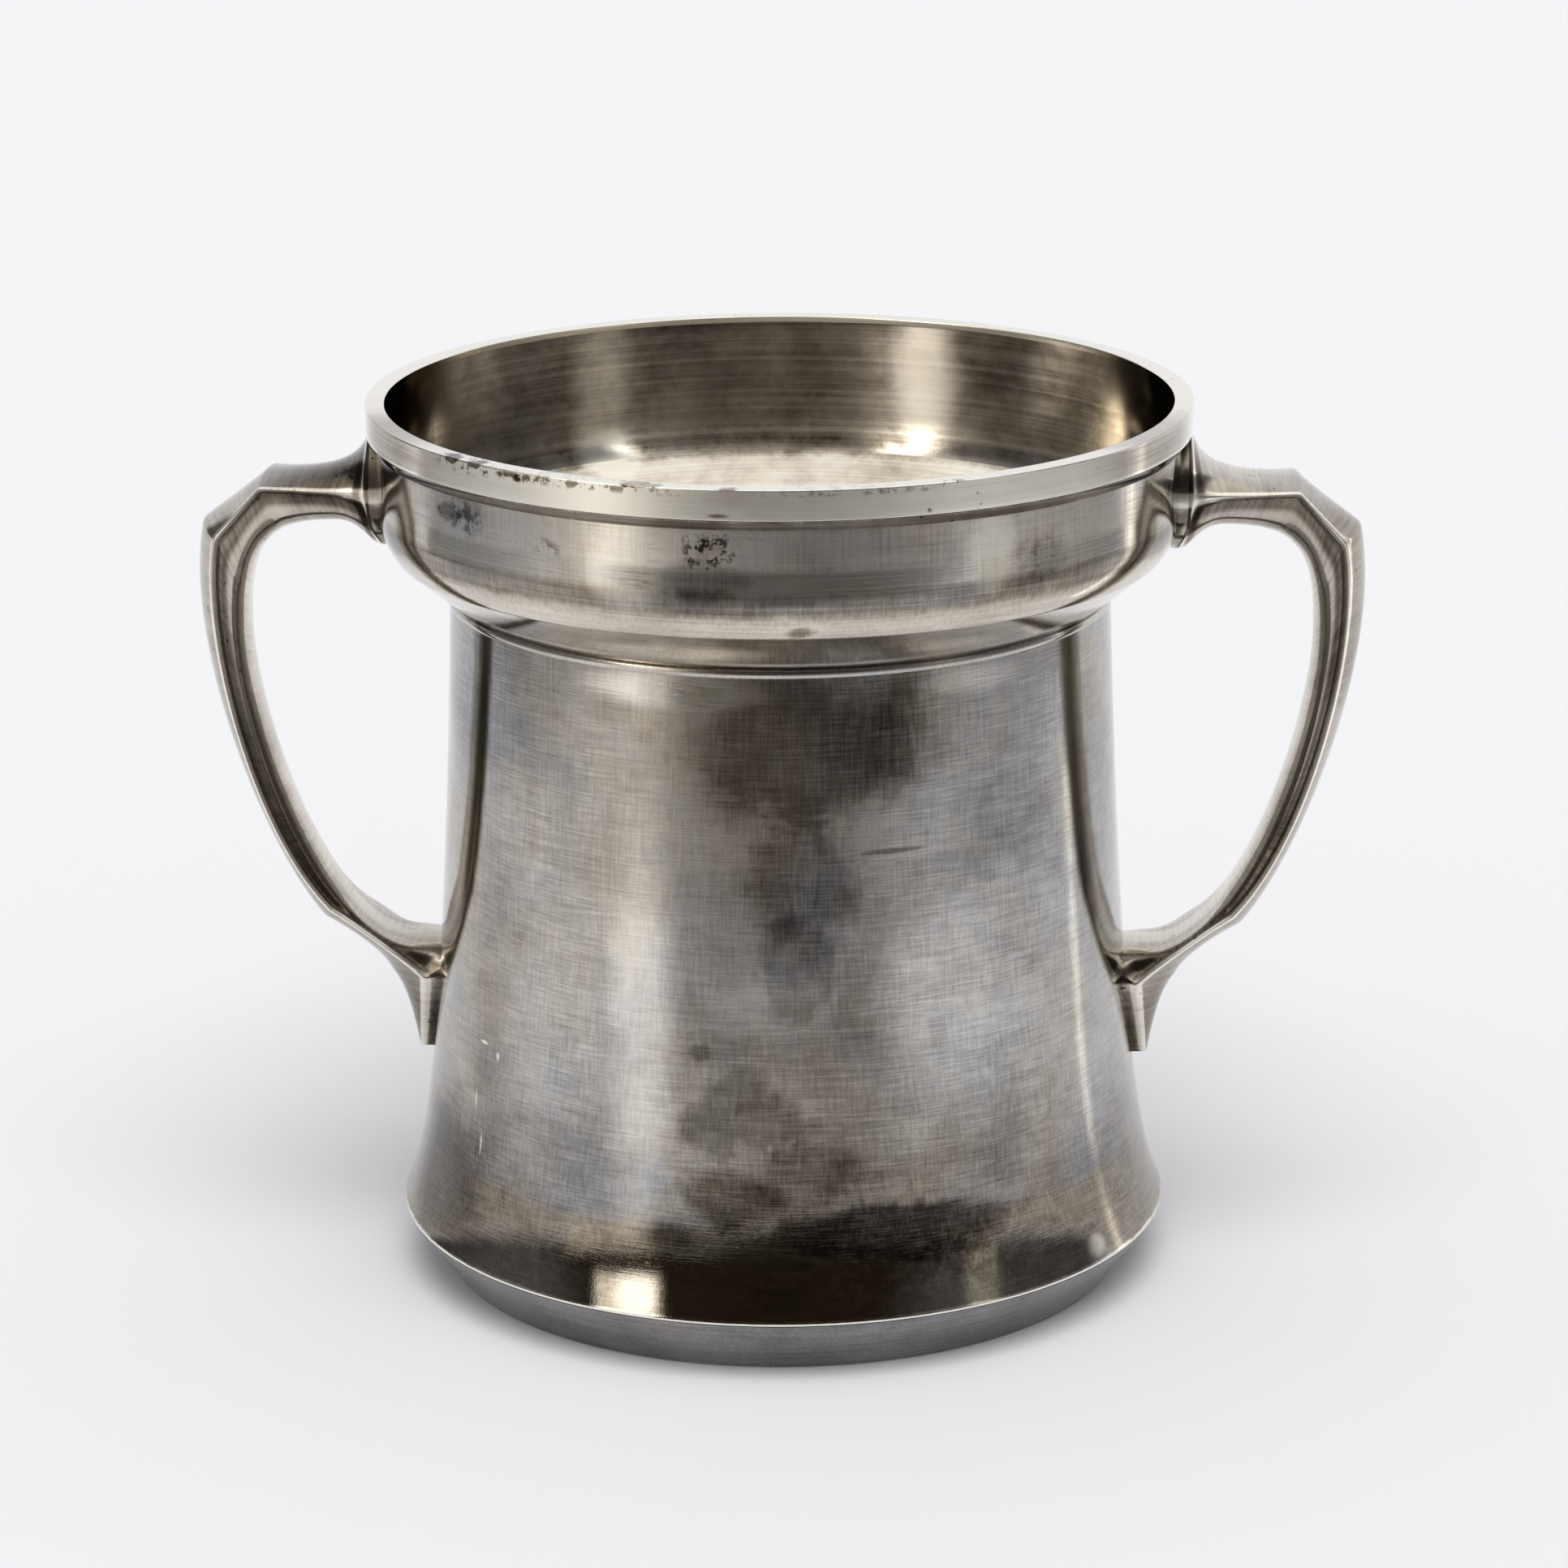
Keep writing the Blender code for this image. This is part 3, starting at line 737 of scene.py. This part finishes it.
def tarnishAndPaintedLight(tree, coords, height, noises, finish):
    # 0 is clean silver and 1 is black; some patches, bands and stripes in it are painted light
    t, wobble = texture, noises["wobble"]
    total = finish["tarnish"]
    for name in ("clouds", "mottle", "level", "upright"):
        total = addNoise(tree, total, noises[name], finish[name])
    for patch in finish.get("patches", []):
        edge = wobble if patch[1] < t["smallPatch"] else noises["drift"]
        total = maths(tree, "ADD", total, patchMask(tree, coords, edge, patch))
    for patch in finish.get("spots", []):
        # grime gathered in specks
        specks = ranged(tree, noise(tree, coords, t["speckScale"], detail=5.0, rough=0.7),
                        *t["speckRange"])
        total = maths(tree, "MULTIPLY_ADD", specks, patchMask(tree, coords, wobble, patch), total)
    for name, place, half, strength, _ in finish.get("stripes", []):
        # on a bow: grime in the hollow by the sharp edge, partly painted shade, and the edge
        # itself polished, partly a painted highlight
        total = maths(tree, "ADD", total, bandMask(tree, attribute(tree, name), place, half,
                                                   wobble, "stripe", strength))
    for z, half, strength in finish.get("bands", []):
        # polished or grimy bands round the vessel, and some that are painted shade and painted
        # highlights
        total = maths(tree, "ADD", total, bandMask(tree, height, z, half, wobble, "band",
                                                   strength))
    if finish["pits"]:
        specks = noise(tree, coords, t["pitScale"], detail=2.0, rough=0.5)
        gathered = noise(tree, stretched(tree, coords, (1, 1, 1), (7, 5, 1)), t["gatherScale"],
                         detail=3.0, rough=0.5)
        pits = maths(tree, "MULTIPLY", ranged(tree, specks, *t["pitRange"]),
                     ranged(tree, gathered, *t["gatherRange"]))
        total = maths(tree, "MULTIPLY_ADD", pits, finish["pits"], total)
    return maths(tree, "ADD", total, 0.0, clamp=True)


def tarnishAndPaintedLightColour(tree, coords, height, noises, finish, total):
    # warm and cool tones by the tarnish and the painted light, and a slow change from one to the
    # other
    ramps = []
    for tones in (warmTones, coolTones):
        ramp = addNode(tree, "ValToRGB")
        tree.links.new(total, ramp.inputs["Fac"])
        for place, colour in tones[1:-1]:
            ramp.color_ramp.elements.new(place).color = (*colour, 1)
        ramp.color_ramp.elements[0].color = (*tones[0][1], 1)
        ramp.color_ramp.elements[-1].color = (*tones[-1][1], 1)
        ramps.append(ramp.outputs["Color"])
    coolness = maths(tree, "ADD", ranged(tree, noises["hue"], *texture["hueRange"]),
                     finish["coolness"], clamp=True)
    masks = [patchMask(tree, coords, noises["drift"], patch)
             for patch in finish.get("coolPatches", [])]
    masks += [bandMask(tree, height, z, half, noises["drift"], "coolBand", strength)
              for z, half, strength in finish.get("coolBands", [])]
    for mask in masks:
        coolness = maths(tree, "ADD", coolness, mask, clamp=True)
    return mixed(tree, ramps[0], ramps[1], coolness)


def tarnishRoughness(tree, height, noises, finish, total):
    t = texture
    grain = addNoise(tree, total, noises["level"], t["levelRough"])
    grain = addNoise(tree, grain, noises["clouds"], t["cloudRough"])
    roughness = ranged(tree, grain, 0.0, 1.0, *finish["rough"])
    for z, half, strength in finish.get("smooth", []):
        roughness = maths(tree, "MULTIPLY", roughness,
                          bandMask(tree, height, z, half, noises["drift"], "smoothBand",
                                   1.0 - strength, 1.0))
    # seen edge-on, the metal mirrors more sharply
    facing = addNode(tree, "LayerWeight", Blend=0.5).outputs["Facing"]
    roughness = maths(tree, "MULTIPLY", roughness,
                      ranged(tree, facing, *t["facingRange"], 1.0, t["facingShare"]))
    extra = 0.0
    for name, place, half, _, rougher in finish.get("stripes", []):
        if rougher:
            extra = maths(tree, "ADD", extra, bandMask(tree, attribute(tree, name), place, half,
                                                       noises["wobble"], "stripe", rougher))
    return maths(tree, "ADD", roughness, extra) if extra else roughness


def tarnishRelief(tree, coords, noises, finish):
    waves = noise(tree, stretched(tree, coords, (1, 1, 1.6)), finish["waveScale"],
                  detail=1.5, rough=0.4)
    relief = maths(tree, "MULTIPLY", waves, finish["waves"])
    for name, amount in (("level", finish["levelBump"]), ("upright", finish["uprightBump"]),
                         ("mottle", texture["mottleBump"])):
        relief = maths(tree, "MULTIPLY_ADD", noises[name], amount, relief)
    return addNode(tree, "Bump", Strength=texture["bumpStrength"],
                   Distance=texture["bumpDepth"], Height=relief).outputs[0]


def silverFinish(name, finish):
    # tarnished silver plate: the tarnish, with painted highlights and shade in places, drives its
    # colour and roughness
    made, tree = newMaterial(name)
    shader = tree.nodes["Principled BSDF"]
    shader.inputs["Metallic"].default_value = 1.0
    coords = addNode(tree, "TexCoord").outputs["Object"]
    height = addNode(tree, "SeparateXYZ", Vector=coords).outputs["Z"]
    noises = finishNoises(tree, coords, finish)
    total = tarnishAndPaintedLight(tree, coords, height, noises, finish)
    colour = tarnishAndPaintedLightColour(tree, coords, height, noises, finish, total)
    tree.links.new(colour, shader.inputs["Base Color"])
    roughness = tarnishRoughness(tree, height, noises, finish, total)
    tree.links.new(roughness, shader.inputs["Roughness"])
    if finish["brushed"]:
        # lines round the vessel spread a reflection upwards and downwards
        around = vectorMaths(tree, "CROSS_PRODUCT", (0, 0, 1), coords)
        tree.links.new(around, shader.inputs["Tangent"])
        shader.inputs["Anisotropic"].default_value = finish["brushed"]
        shader.inputs["Anisotropic Rotation"].default_value = texture["quarterTurn"]
    tree.links.new(tarnishRelief(tree, coords, noises, finish), shader.inputs["Normal"])
    return made


# tones run from clean silver to black tarnish, by place on the scale
warmTones = [(0.0, (0.9, 0.865, 0.78)), (0.25, (0.71, 0.665, 0.585)),
             (0.45, (0.485, 0.445, 0.385)), (0.65, (0.28, 0.248, 0.205)),
             (0.82, (0.125, 0.105, 0.08)), (1.0, (0.03, 0.025, 0.02))]
coolTones = [(0.0, (0.89, 0.875, 0.83)), (0.25, (0.67, 0.655, 0.625)),
             (0.45, (0.455, 0.45, 0.44)), (0.65, (0.255, 0.255, 0.26)),
             (0.82, (0.11, 0.11, 0.115)), (1.0, (0.02, 0.02, 0.022))]

# level and upright are fine strokes round the metal and up it; coolness goes from the
# warm tones to the cool ones; bands and smooth bands are (height, half height, strength)
base = {"tarnish": 0.45, "coolness": 0.0, "clouds": 0.55, "cloudScale": 18.0, "mottle": 0.24,
        "mottleScale": 80.0, "level": 0.3, "levelScale": (20, 20, 1400), "upright": 0.26,
        "uprightScale": (1400, 1400, 60), "pits": 0.0, "brushed": 0.0, "rough": (0.07, 0.34),
        "waves": 0.35, "waveScale": 26.0, "levelBump": 0.03, "uprightBump": 0.02}
finishes = {
    "rim": dict(
        base, tarnish=0.09, coolness=-0.75, clouds=0.5, pits=0.6, level=0.44,
        levelScale=(9, 9, 1250), upright=0.04, waves=0.15, rough=(0.32, 0.54),
        # the first two bands are the worn edges; the third darkens the cove under the rim's face,
        # painted shade
        bands=[(0.2177, 0.0007, -0.12), (0.2107, 0.0006, -0.3), (0.2088, 0.0016, 0.75)],
        spots=blots(
            (-30, 0.0995, 0.2166, 0.034, 0.0014, 0.75, 1.0),
            (-46, 0.0995, 0.2164, 0.012, 0.002, 0.7, 1.0),
            (8, 0.0995, 0.2169, 0.026, 0.001, 0.5, 1.0)),
        patches=blots(
            (-8, 0.1, 0.2115, 0.003, 0.0007, 0.7, 0.8),
            (-19, 0.0995, 0.2177, 0.006, 0.0006, 0.7, 2.0),
            (-7, 0.0995, 0.2177, 0.003, 0.0005, 0.6, 2.4),
            (-36.6, 0.1, 0.2162, 0.001, 0.001, 0.6, 1.2),
            (-44, 0.0995, 0.2174, 0.0036, 0.0012, 0.7, 2.6),
            (-49, 0.0995, 0.2176, 0.004, 0.0012, 0.7, 2.8),
            (24, 0.0995, 0.2177, 0.002, 0.0005, 0.5, 2.4),
            # lighter where the window's reflection falls on the face: a painted highlight
            (-24, 0.1, 0.2145, 0.018, 0.008, -0.18, 0.3),
            (27, 0.1, 0.215, 0.03, 0.01, 0.12, 0.6),
            # darker towards both sides of the face: painted shade
            (63, 0.1, 0.215, 0.03, 0.01, 0.46, 0.3),
            (-69, 0.1, 0.215, 0.024, 0.01, 0.52, 0.3),
            (-7, 0.1, 0.2155, 0.006, 0.0025, 0.2, 1.0))),
    "collar": dict(
        base, tarnish=0.46, coolness=-0.45, level=0.42, levelScale=(24, 24, 1500),
        upright=0.36, rough=(0.1, 0.34), brushed=0.5,
        smooth=[(0.205, 0.008, -1.0), (0.1755, 0.004, -1.2)],
        bands=[(0.1715, 0.0012, 0.1), (0.19, 0.0032, 0.25), (0.1825, 0.0034, -0.1)],
        coolBands=[(0.1825, 0.007, -0.8)],
        spots=blots(
            (-9.0, 0.0974, 0.203, 0.008, 0.0046, 0.42, 1.8),
            (-50, 0.0974, 0.203, 0.01, 0.005, 0.26, 0.8),
            (-33, 0.0974, 0.2, 0.004, 0.003, 0.35, 0.8),
            (38, 0.0974, 0.1965, 0.01, 0.006, 0.12, 0.8)),
        patches=blots(
            (11, 0.0974, 0.202, 0.028, 0.01, 0.17, 0.9),
            (-9.5, 0.0974, 0.2035, 0.0045, 0.003, 0.14, 0.9),
            (-11.0, 0.0974, 0.196, 0.015, 0.005, 0.28, 1.4),
            (-52, 0.0974, 0.2035, 0.006, 0.003, 0.3, 1.6),
            # lighter where the window's reflection runs down the wall: a painted highlight
            (-21, 0.0974, 0.1985, 0.0105, 0.012, -0.34, 0.6),
            (39, 0.0974, 0.196, 0.006, 0.006, 0.15, 0.8),
            (29.5, 0.0974, 0.2, 0.007, 0.01, -0.3, 0.8),
            (8, 0.088, 0.1765, 0.03, 0.004, -0.28, 0.6),
            (2.8, 0.096, 0.183, 0.004, 0.002, 0.4, 1.6),
            (-47.8, 0.0974, 0.206, 0.006, 0.007, 0.15, 0.8)),
        coolPatches=blots((-45, 0.0974, 0.2, 0.03, 0.01, 0.7, 0.5))),
    "wire": dict(base, tarnish=0.42, waves=0.1, rough=(0.2, 0.45)),
    "body": dict(
        base, tarnish=0.57, level=0.4, levelScale=(90, 90, 1900), upright=0.36,
        uprightScale=(1800, 1800, 80), rough=(0.11, 0.36), brushed=0.5,
        bands=[(0.0145, 0.0012, -0.8), (0.036, 0.016, 0.05)],
        coolBands=[(0.024, 0.014, -0.9)], smooth=[(0.016, 0.038, 0.8)],
        # the big dark patch down the front and dark places low down, partly tarnish and partly
        # painted shade, then light and dark places at the sides, small marks and a few scratches
        patches=blots(
            (3, 0.081, 0.153, 0.038, 0.021, 0.31, 1.3),
            (3, 0.082, 0.121, 0.016, 0.017, 0.2, 1.8),
            (2, 0.084, 0.099, 0.01, 0.016, 0.13, 2.2),
            (-5, 0.087, 0.064, 0.018, 0.012, 0.15, 2.4),
            (2, 0.088, 0.049, 0.014, 0.01, 0.12, 2.0),
            (-8, 0.089, 0.044, 0.013, 0.008, 0.24, 1.4),
            (-1, 0.085, 0.089, 0.018, 0.009, -0.13, 1.2),
            (28, 0.085, 0.09, 0.021, 0.038, -0.11, 1.0),
            (-53, 0.087, 0.09, 0.016, 0.04, 0.08, 1.0),
            (-17, 0.091, 0.034, 0.009, 0.004, 0.28, 0.8),
            (26, 0.088, 0.046, 0.026, 0.008, 0.07, 1.2),
            # lighter down the window's reflection: a painted highlight
            (-23, 0.086, 0.086, 0.01, 0.054, -0.26, 0.6),
            (-38, 0.084, 0.105, 0.023, 0.06, -0.13, 0.7),
            # a cream painted highlight just under the neck
            (-19, 0.081, 0.1645, 0.022, 0.0045, -0.44, 0.6),
            (35, 0.081, 0.165, 0.014, 0.004, -0.22, 0.5),
            (-66, 0.092, 0.03, 0.026, 0.022, 0.34, 0.6),
            (16, 0.09, 0.034, 0.04, 0.0075, 0.3, 1.8),
            # the window's bright patch low in the dark band: a painted highlight
            (-22, 0.094, 0.02, 0.0065, 0.007, -0.5, 0.2),
            (18, 0.082, 0.1265, 0.009, 0.0008, 0.2, 1.4),
            (-13, 0.085, 0.079, 0.003, 0.003, 0.12, 1.8),
            (-52.8, 0.0859, 0.0672, 0.0008, 0.0014, -0.5, 1.2),
            (-57, 0.0858, 0.069, 0.0018, 0.0005, -0.5, 1.2),
            (-58.5, 0.087, 0.053, 0.0004, 0.004, -0.4, 0.6),
            (-56, 0.0883, 0.044, 0.0005, 0.005, -0.4, 0.6),
            # the strip's bright spot low on the right: a painted highlight
            (54, 0.0937, 0.019, 0.004, 0.003, -0.5, 0.5)),
        coolPatches=blots(
            (2, 0.081, 0.15, 0.036, 0.034, -0.6, 0.5),
            (-8, 0.087, 0.06, 0.03, 0.032, -0.7, 0.6),
            (-20.7, 0.088, 0.047, 0.004, 0.006, 1.0, 1.0),
            (36, 0.086, 0.095, 0.04, 0.045, 0.6, 0.6)),
        spots=blots(
            (22, 0.091, 0.026, 0.045, 0.009, -0.13, 1.0),
            (-34, 0.091, 0.024, 0.02, 0.009, -0.1, 1.0))),
    "base": dict(base, tarnish=0.68, clouds=0.4, coolness=0.6,
                 patches=blots((-75, 0.09, 0.007, 0.03, 0.02, 0.2, 0.5))),
    # the inside of the collar and the body
    "inside": dict(
        base, tarnish=0.5, coolness=-0.95, clouds=1.0, mottle=0.8, level=0.68,
        levelScale=(6, 6, 900), upright=0.05, brushed=0.92, rough=(0.34, 0.5),
        # the first band lightens the crescent that mirrors the ceiling low in the bowl, a painted
        # highlight; the second darkens the edge above it, painted shade
        bands=[(0.178, 0.009, -0.4), (0.1845, 0.0028, 0.4)], smooth=[(0.176, 0.012, 0.45)],
        patches=blots(
            # the lighter patches down the walls are painted highlights where reflected light
            # runs; the darker one at 158 dims the brightest spot, painted shade
            (157, 0.0959, 0.206, 0.0095, 0.024, -0.46, 0.5),
            (-151.5, 0.0959, 0.198, 0.01, 0.04, -0.34, 0.8),
            (158, 0.09, 0.177, 0.018, 0.007, 0.26, 0.6),
            (-152, 0.093, 0.185, 0.01, 0.006, -0.45, 0.5),
            (118, 0.0959, 0.196, 0.01, 0.03, -0.2, 0.3))),
    "plate": dict(base, tarnish=0.5),
    # stripes: attribute, place on it, half width, strength and extra roughness; these
    # patches have their centres as points
    "handle": dict(
        base, tarnish=0.57, coolness=-0.8, clouds=0.6, pits=0.3, alongBow=True, level=0.42,
        levelScale=(1100, 45, 1), upright=0.1,
        # the stripe at 1.42 lightens the round bulge of the flank: a painted highlight
        stripes=[("turn", 1.0, 0.05, -0.52, 0.28), ("turn", 1.18, 0.11, 0.2, 0),
                 ("turn", 1.42, 0.13, -0.1, 0), ("turn", 2.0, 0.36, -0.22, 0),
                 ("along", 0.0099, 0.0006, 0.4, 0), ("along", 0.0107, 0.0003, -0.5, 0.2),
                 ("along", 0.0121, 0.0009, 0.3, 0)],
        # the first patch darkens the left arm's face, painted shade; the second lightens the
        # right arm's face, a painted highlight
        patches=[((-0.112, 0, 0.202), 0.026, 0.01, 0.3, 0.8),
                 ((0.11, 0, 0.204), 0.018, 0.009, -0.24, 0.8),
                 ((0.1345, 0, 0.204), 0.014, 0.009, 0.5, 0.8),
                 ((0.0935, -0.01, 0.061), 0.012, 0.013, 0.16, 0.5),
                 ((-0.0935, -0.01, 0.061), 0.012, 0.013, 0.16, 0.5)]),
}

silver = {name: silverFinish(name + "Silver", finish) for name, finish in finishes.items()}
for key, piece in pieces.items():
    piece.data.materials.append(silver["handle" if key in ("right", "left") else key])
for key in ("collar", "body"):
    mesh = pieces[key].data
    mesh.materials.append(silver["inside"])
    for face in mesh.polygons:
        if face.center.xy.dot(face.normal.xy) < 0:
            face.material_index = 1
print("finishes made")


# Studio: white paper, a soft sky, and cards that only the metal sees
studio = {
    "paper": (0.853, 0.852, 0.876), "paperSize": 6.0, "paperRough": 0.9, "paperGloss": 0.2,
    # the even light, what the metal mirrors by direction, and the backdrop
    "even": (0.645, 0.645, 0.645), "sky": (0.9, 0.9, 0.93), "side": (0.14, 0.14, 0.145),
    "front": (0.028, 0.021, 0.014), "ceiling": (1.15, 1.12, 1.06),
    "camera": (0.92, 0.915, 0.94),
    # where each starts and is full: from behind (-1) to the front (1), and by height
    "sideRange": (-0.62, -0.42), "frontRange": (0.35, 0.75), "ceilingRange": (0.68, 0.86),
    "slant": -0.2,
    # degrees round from the camera's side, degrees up, degrees wide
    "sunAzimuth": 8, "sunRise": 66, "sunWidth": 40, "sunStrength": 1.5,
    # colour, degrees round from the camera's side, distance, width, lowest and highest edge
    "uprights": [("window", (1.5, 1.4, 1.24), -44.2, 0.62, 0.2, 0.088, 0.75),
                 ("sill", (1.1, 1.03, 0.92), -51, 0.62, 0.3, 0.0, 0.03),
                 ("doorway", (0.48, 0.46, 0.42), 57, 0.62, 0.1, 0.02, 0.4),
                 ("strip", (2.4, 2.3, 2.15), 98, 0.25, 0.009, 0.0, 0.26),
                 ("skylight", (10.0, 9.3, 8.4), -49.5, 0.62, 0.15, 0.45, 1.1),
                 ("transom", (3.2, 3.1, 2.9), 57, 0.62, 0.06, 0.45, 1.00)],
    # colour, low x, high x, low y, high y
    "flats": [("darkFloor", (0.09, 0.08, 0.062), -0.58, 0.75, -2.4, -0.56),
              ("leftFloor", (0.3, 0.29, 0.28), -2.2, -0.73, -1.7, 0.3),
              ("rightFloor", (0.26, 0.26, 0.27), 0.75, 2.2, -1.7, 0.3)],
    "flatLift": 0.0005,
}


def addFlat(name, corners, material):
    # one stage face with its material
    shape = bmesh.new()
    shape.faces.new([shape.verts.new(corner) for corner in corners])
    made = meshObject(name, shape)
    made.data.materials.append(material)
    return made


def levelCorners(lowX, highX, lowY, highY, z):
    return [(lowX, lowY, z), (highX, lowY, z), (highX, highY, z), (lowX, highY, z)]


def addCard(name, colour, corners):
    # a card that shows in the metal only
    glowing, tree = newMaterial(name)
    tree.nodes.remove(tree.nodes["Principled BSDF"])
    glow = addNode(tree, "Emission", Color=(*colour, 1))
    tree.links.new(glow.outputs[0], tree.nodes["Material Output"].inputs["Surface"])
    card = addFlat(name, corners, glowing)
    card.visible_camera = False
    card.visible_diffuse = False
    card.visible_shadow = False


def makeFloor():
    half = studio["paperSize"] / 2
    paper, tree = newMaterial("paper")
    shader = tree.nodes["Principled BSDF"]
    shader.inputs["Base Color"].default_value = (*studio["paper"], 1)
    shader.inputs["Roughness"].default_value = studio["paperRough"]
    shader.inputs["Specular IOR Level"].default_value = studio["paperGloss"]
    addFlat("floor", levelCorners(-half, half, -half, half, 0), paper)


def makeCards():
    for name, colour, azimuth, distance, width, low, high in studio["uprights"]:
        turn = math.radians(azimuth) + camera["azimuth"]
        out = Vector((math.sin(turn), -math.cos(turn), 0)) * distance
        side = Vector((math.cos(turn), math.sin(turn), 0)) * width / 2
        addCard(name, colour, [out + side * way + Vector((0, 0, z)) for way, z in
                               ((-1, low), (1, low), (1, high), (-1, high))])
    for name, colour, *sides in studio["flats"]:
        addCard(name, colour, levelCorners(*sides, studio["flatLift"]))


def makeSky():
    # bright behind and above, dim at the sides, dark in front where the room is
    s = studio
    world = bpy.data.worlds.new("studio")
    bpy.context.scene.world = world
    world.use_nodes = True
    tree = world.node_tree
    coords = addNode(tree, "TexCoord").outputs["Generated"]
    parts = addNode(tree, "SeparateXYZ", Vector=coords).outputs
    ahead = maths(tree, "MULTIPLY_ADD", parts["X"], s["slant"],
                  maths(tree, "MULTIPLY", parts["Y"], -1.0))
    colour = mixed(tree, (*s["sky"], 1), (*s["side"], 1), ranged(tree, ahead, *s["sideRange"]))
    colour = mixed(tree, colour, (*s["front"], 1), ranged(tree, ahead, *s["frontRange"]))
    colour = mixed(tree, colour, (*s["ceiling"], 1), ranged(tree, parts["Z"], *s["ceilingRange"]))
    path = addNode(tree, "LightPath")
    colour = mixed(tree, (*s["even"], 1), colour, path.outputs["Is Glossy Ray"])
    colour = mixed(tree, colour, (*s["camera"], 1), path.outputs["Is Camera Ray"])
    tree.links.new(colour, tree.nodes["Background"].inputs["Color"])


def addSun():
    # a wide sun that the metal doesn't mirror: it gives the floor its soft shadow
    data = bpy.data.lights.new("overhead", "SUN")
    data.angle = math.radians(studio["sunWidth"])
    data.energy = studio["sunStrength"]
    lamp = bpy.data.objects.new("overhead", data)
    turn, lift = math.radians(studio["sunAzimuth"]), math.radians(studio["sunRise"])
    flat = math.cos(lift)
    to = Vector((math.sin(turn) * flat, -math.cos(turn) * flat, math.sin(lift)))
    lamp.rotation_euler = to.to_track_quat("Z", "Y").to_euler()
    lamp.visible_glossy = False
    bpy.context.scene.collection.objects.link(lamp)


makeFloor()
makeCards()
makeSky()
addSun()
print("studio lit")

bpy.context.scene.view_settings.view_transform = "Standard"
bpy.context.view_layer.update()
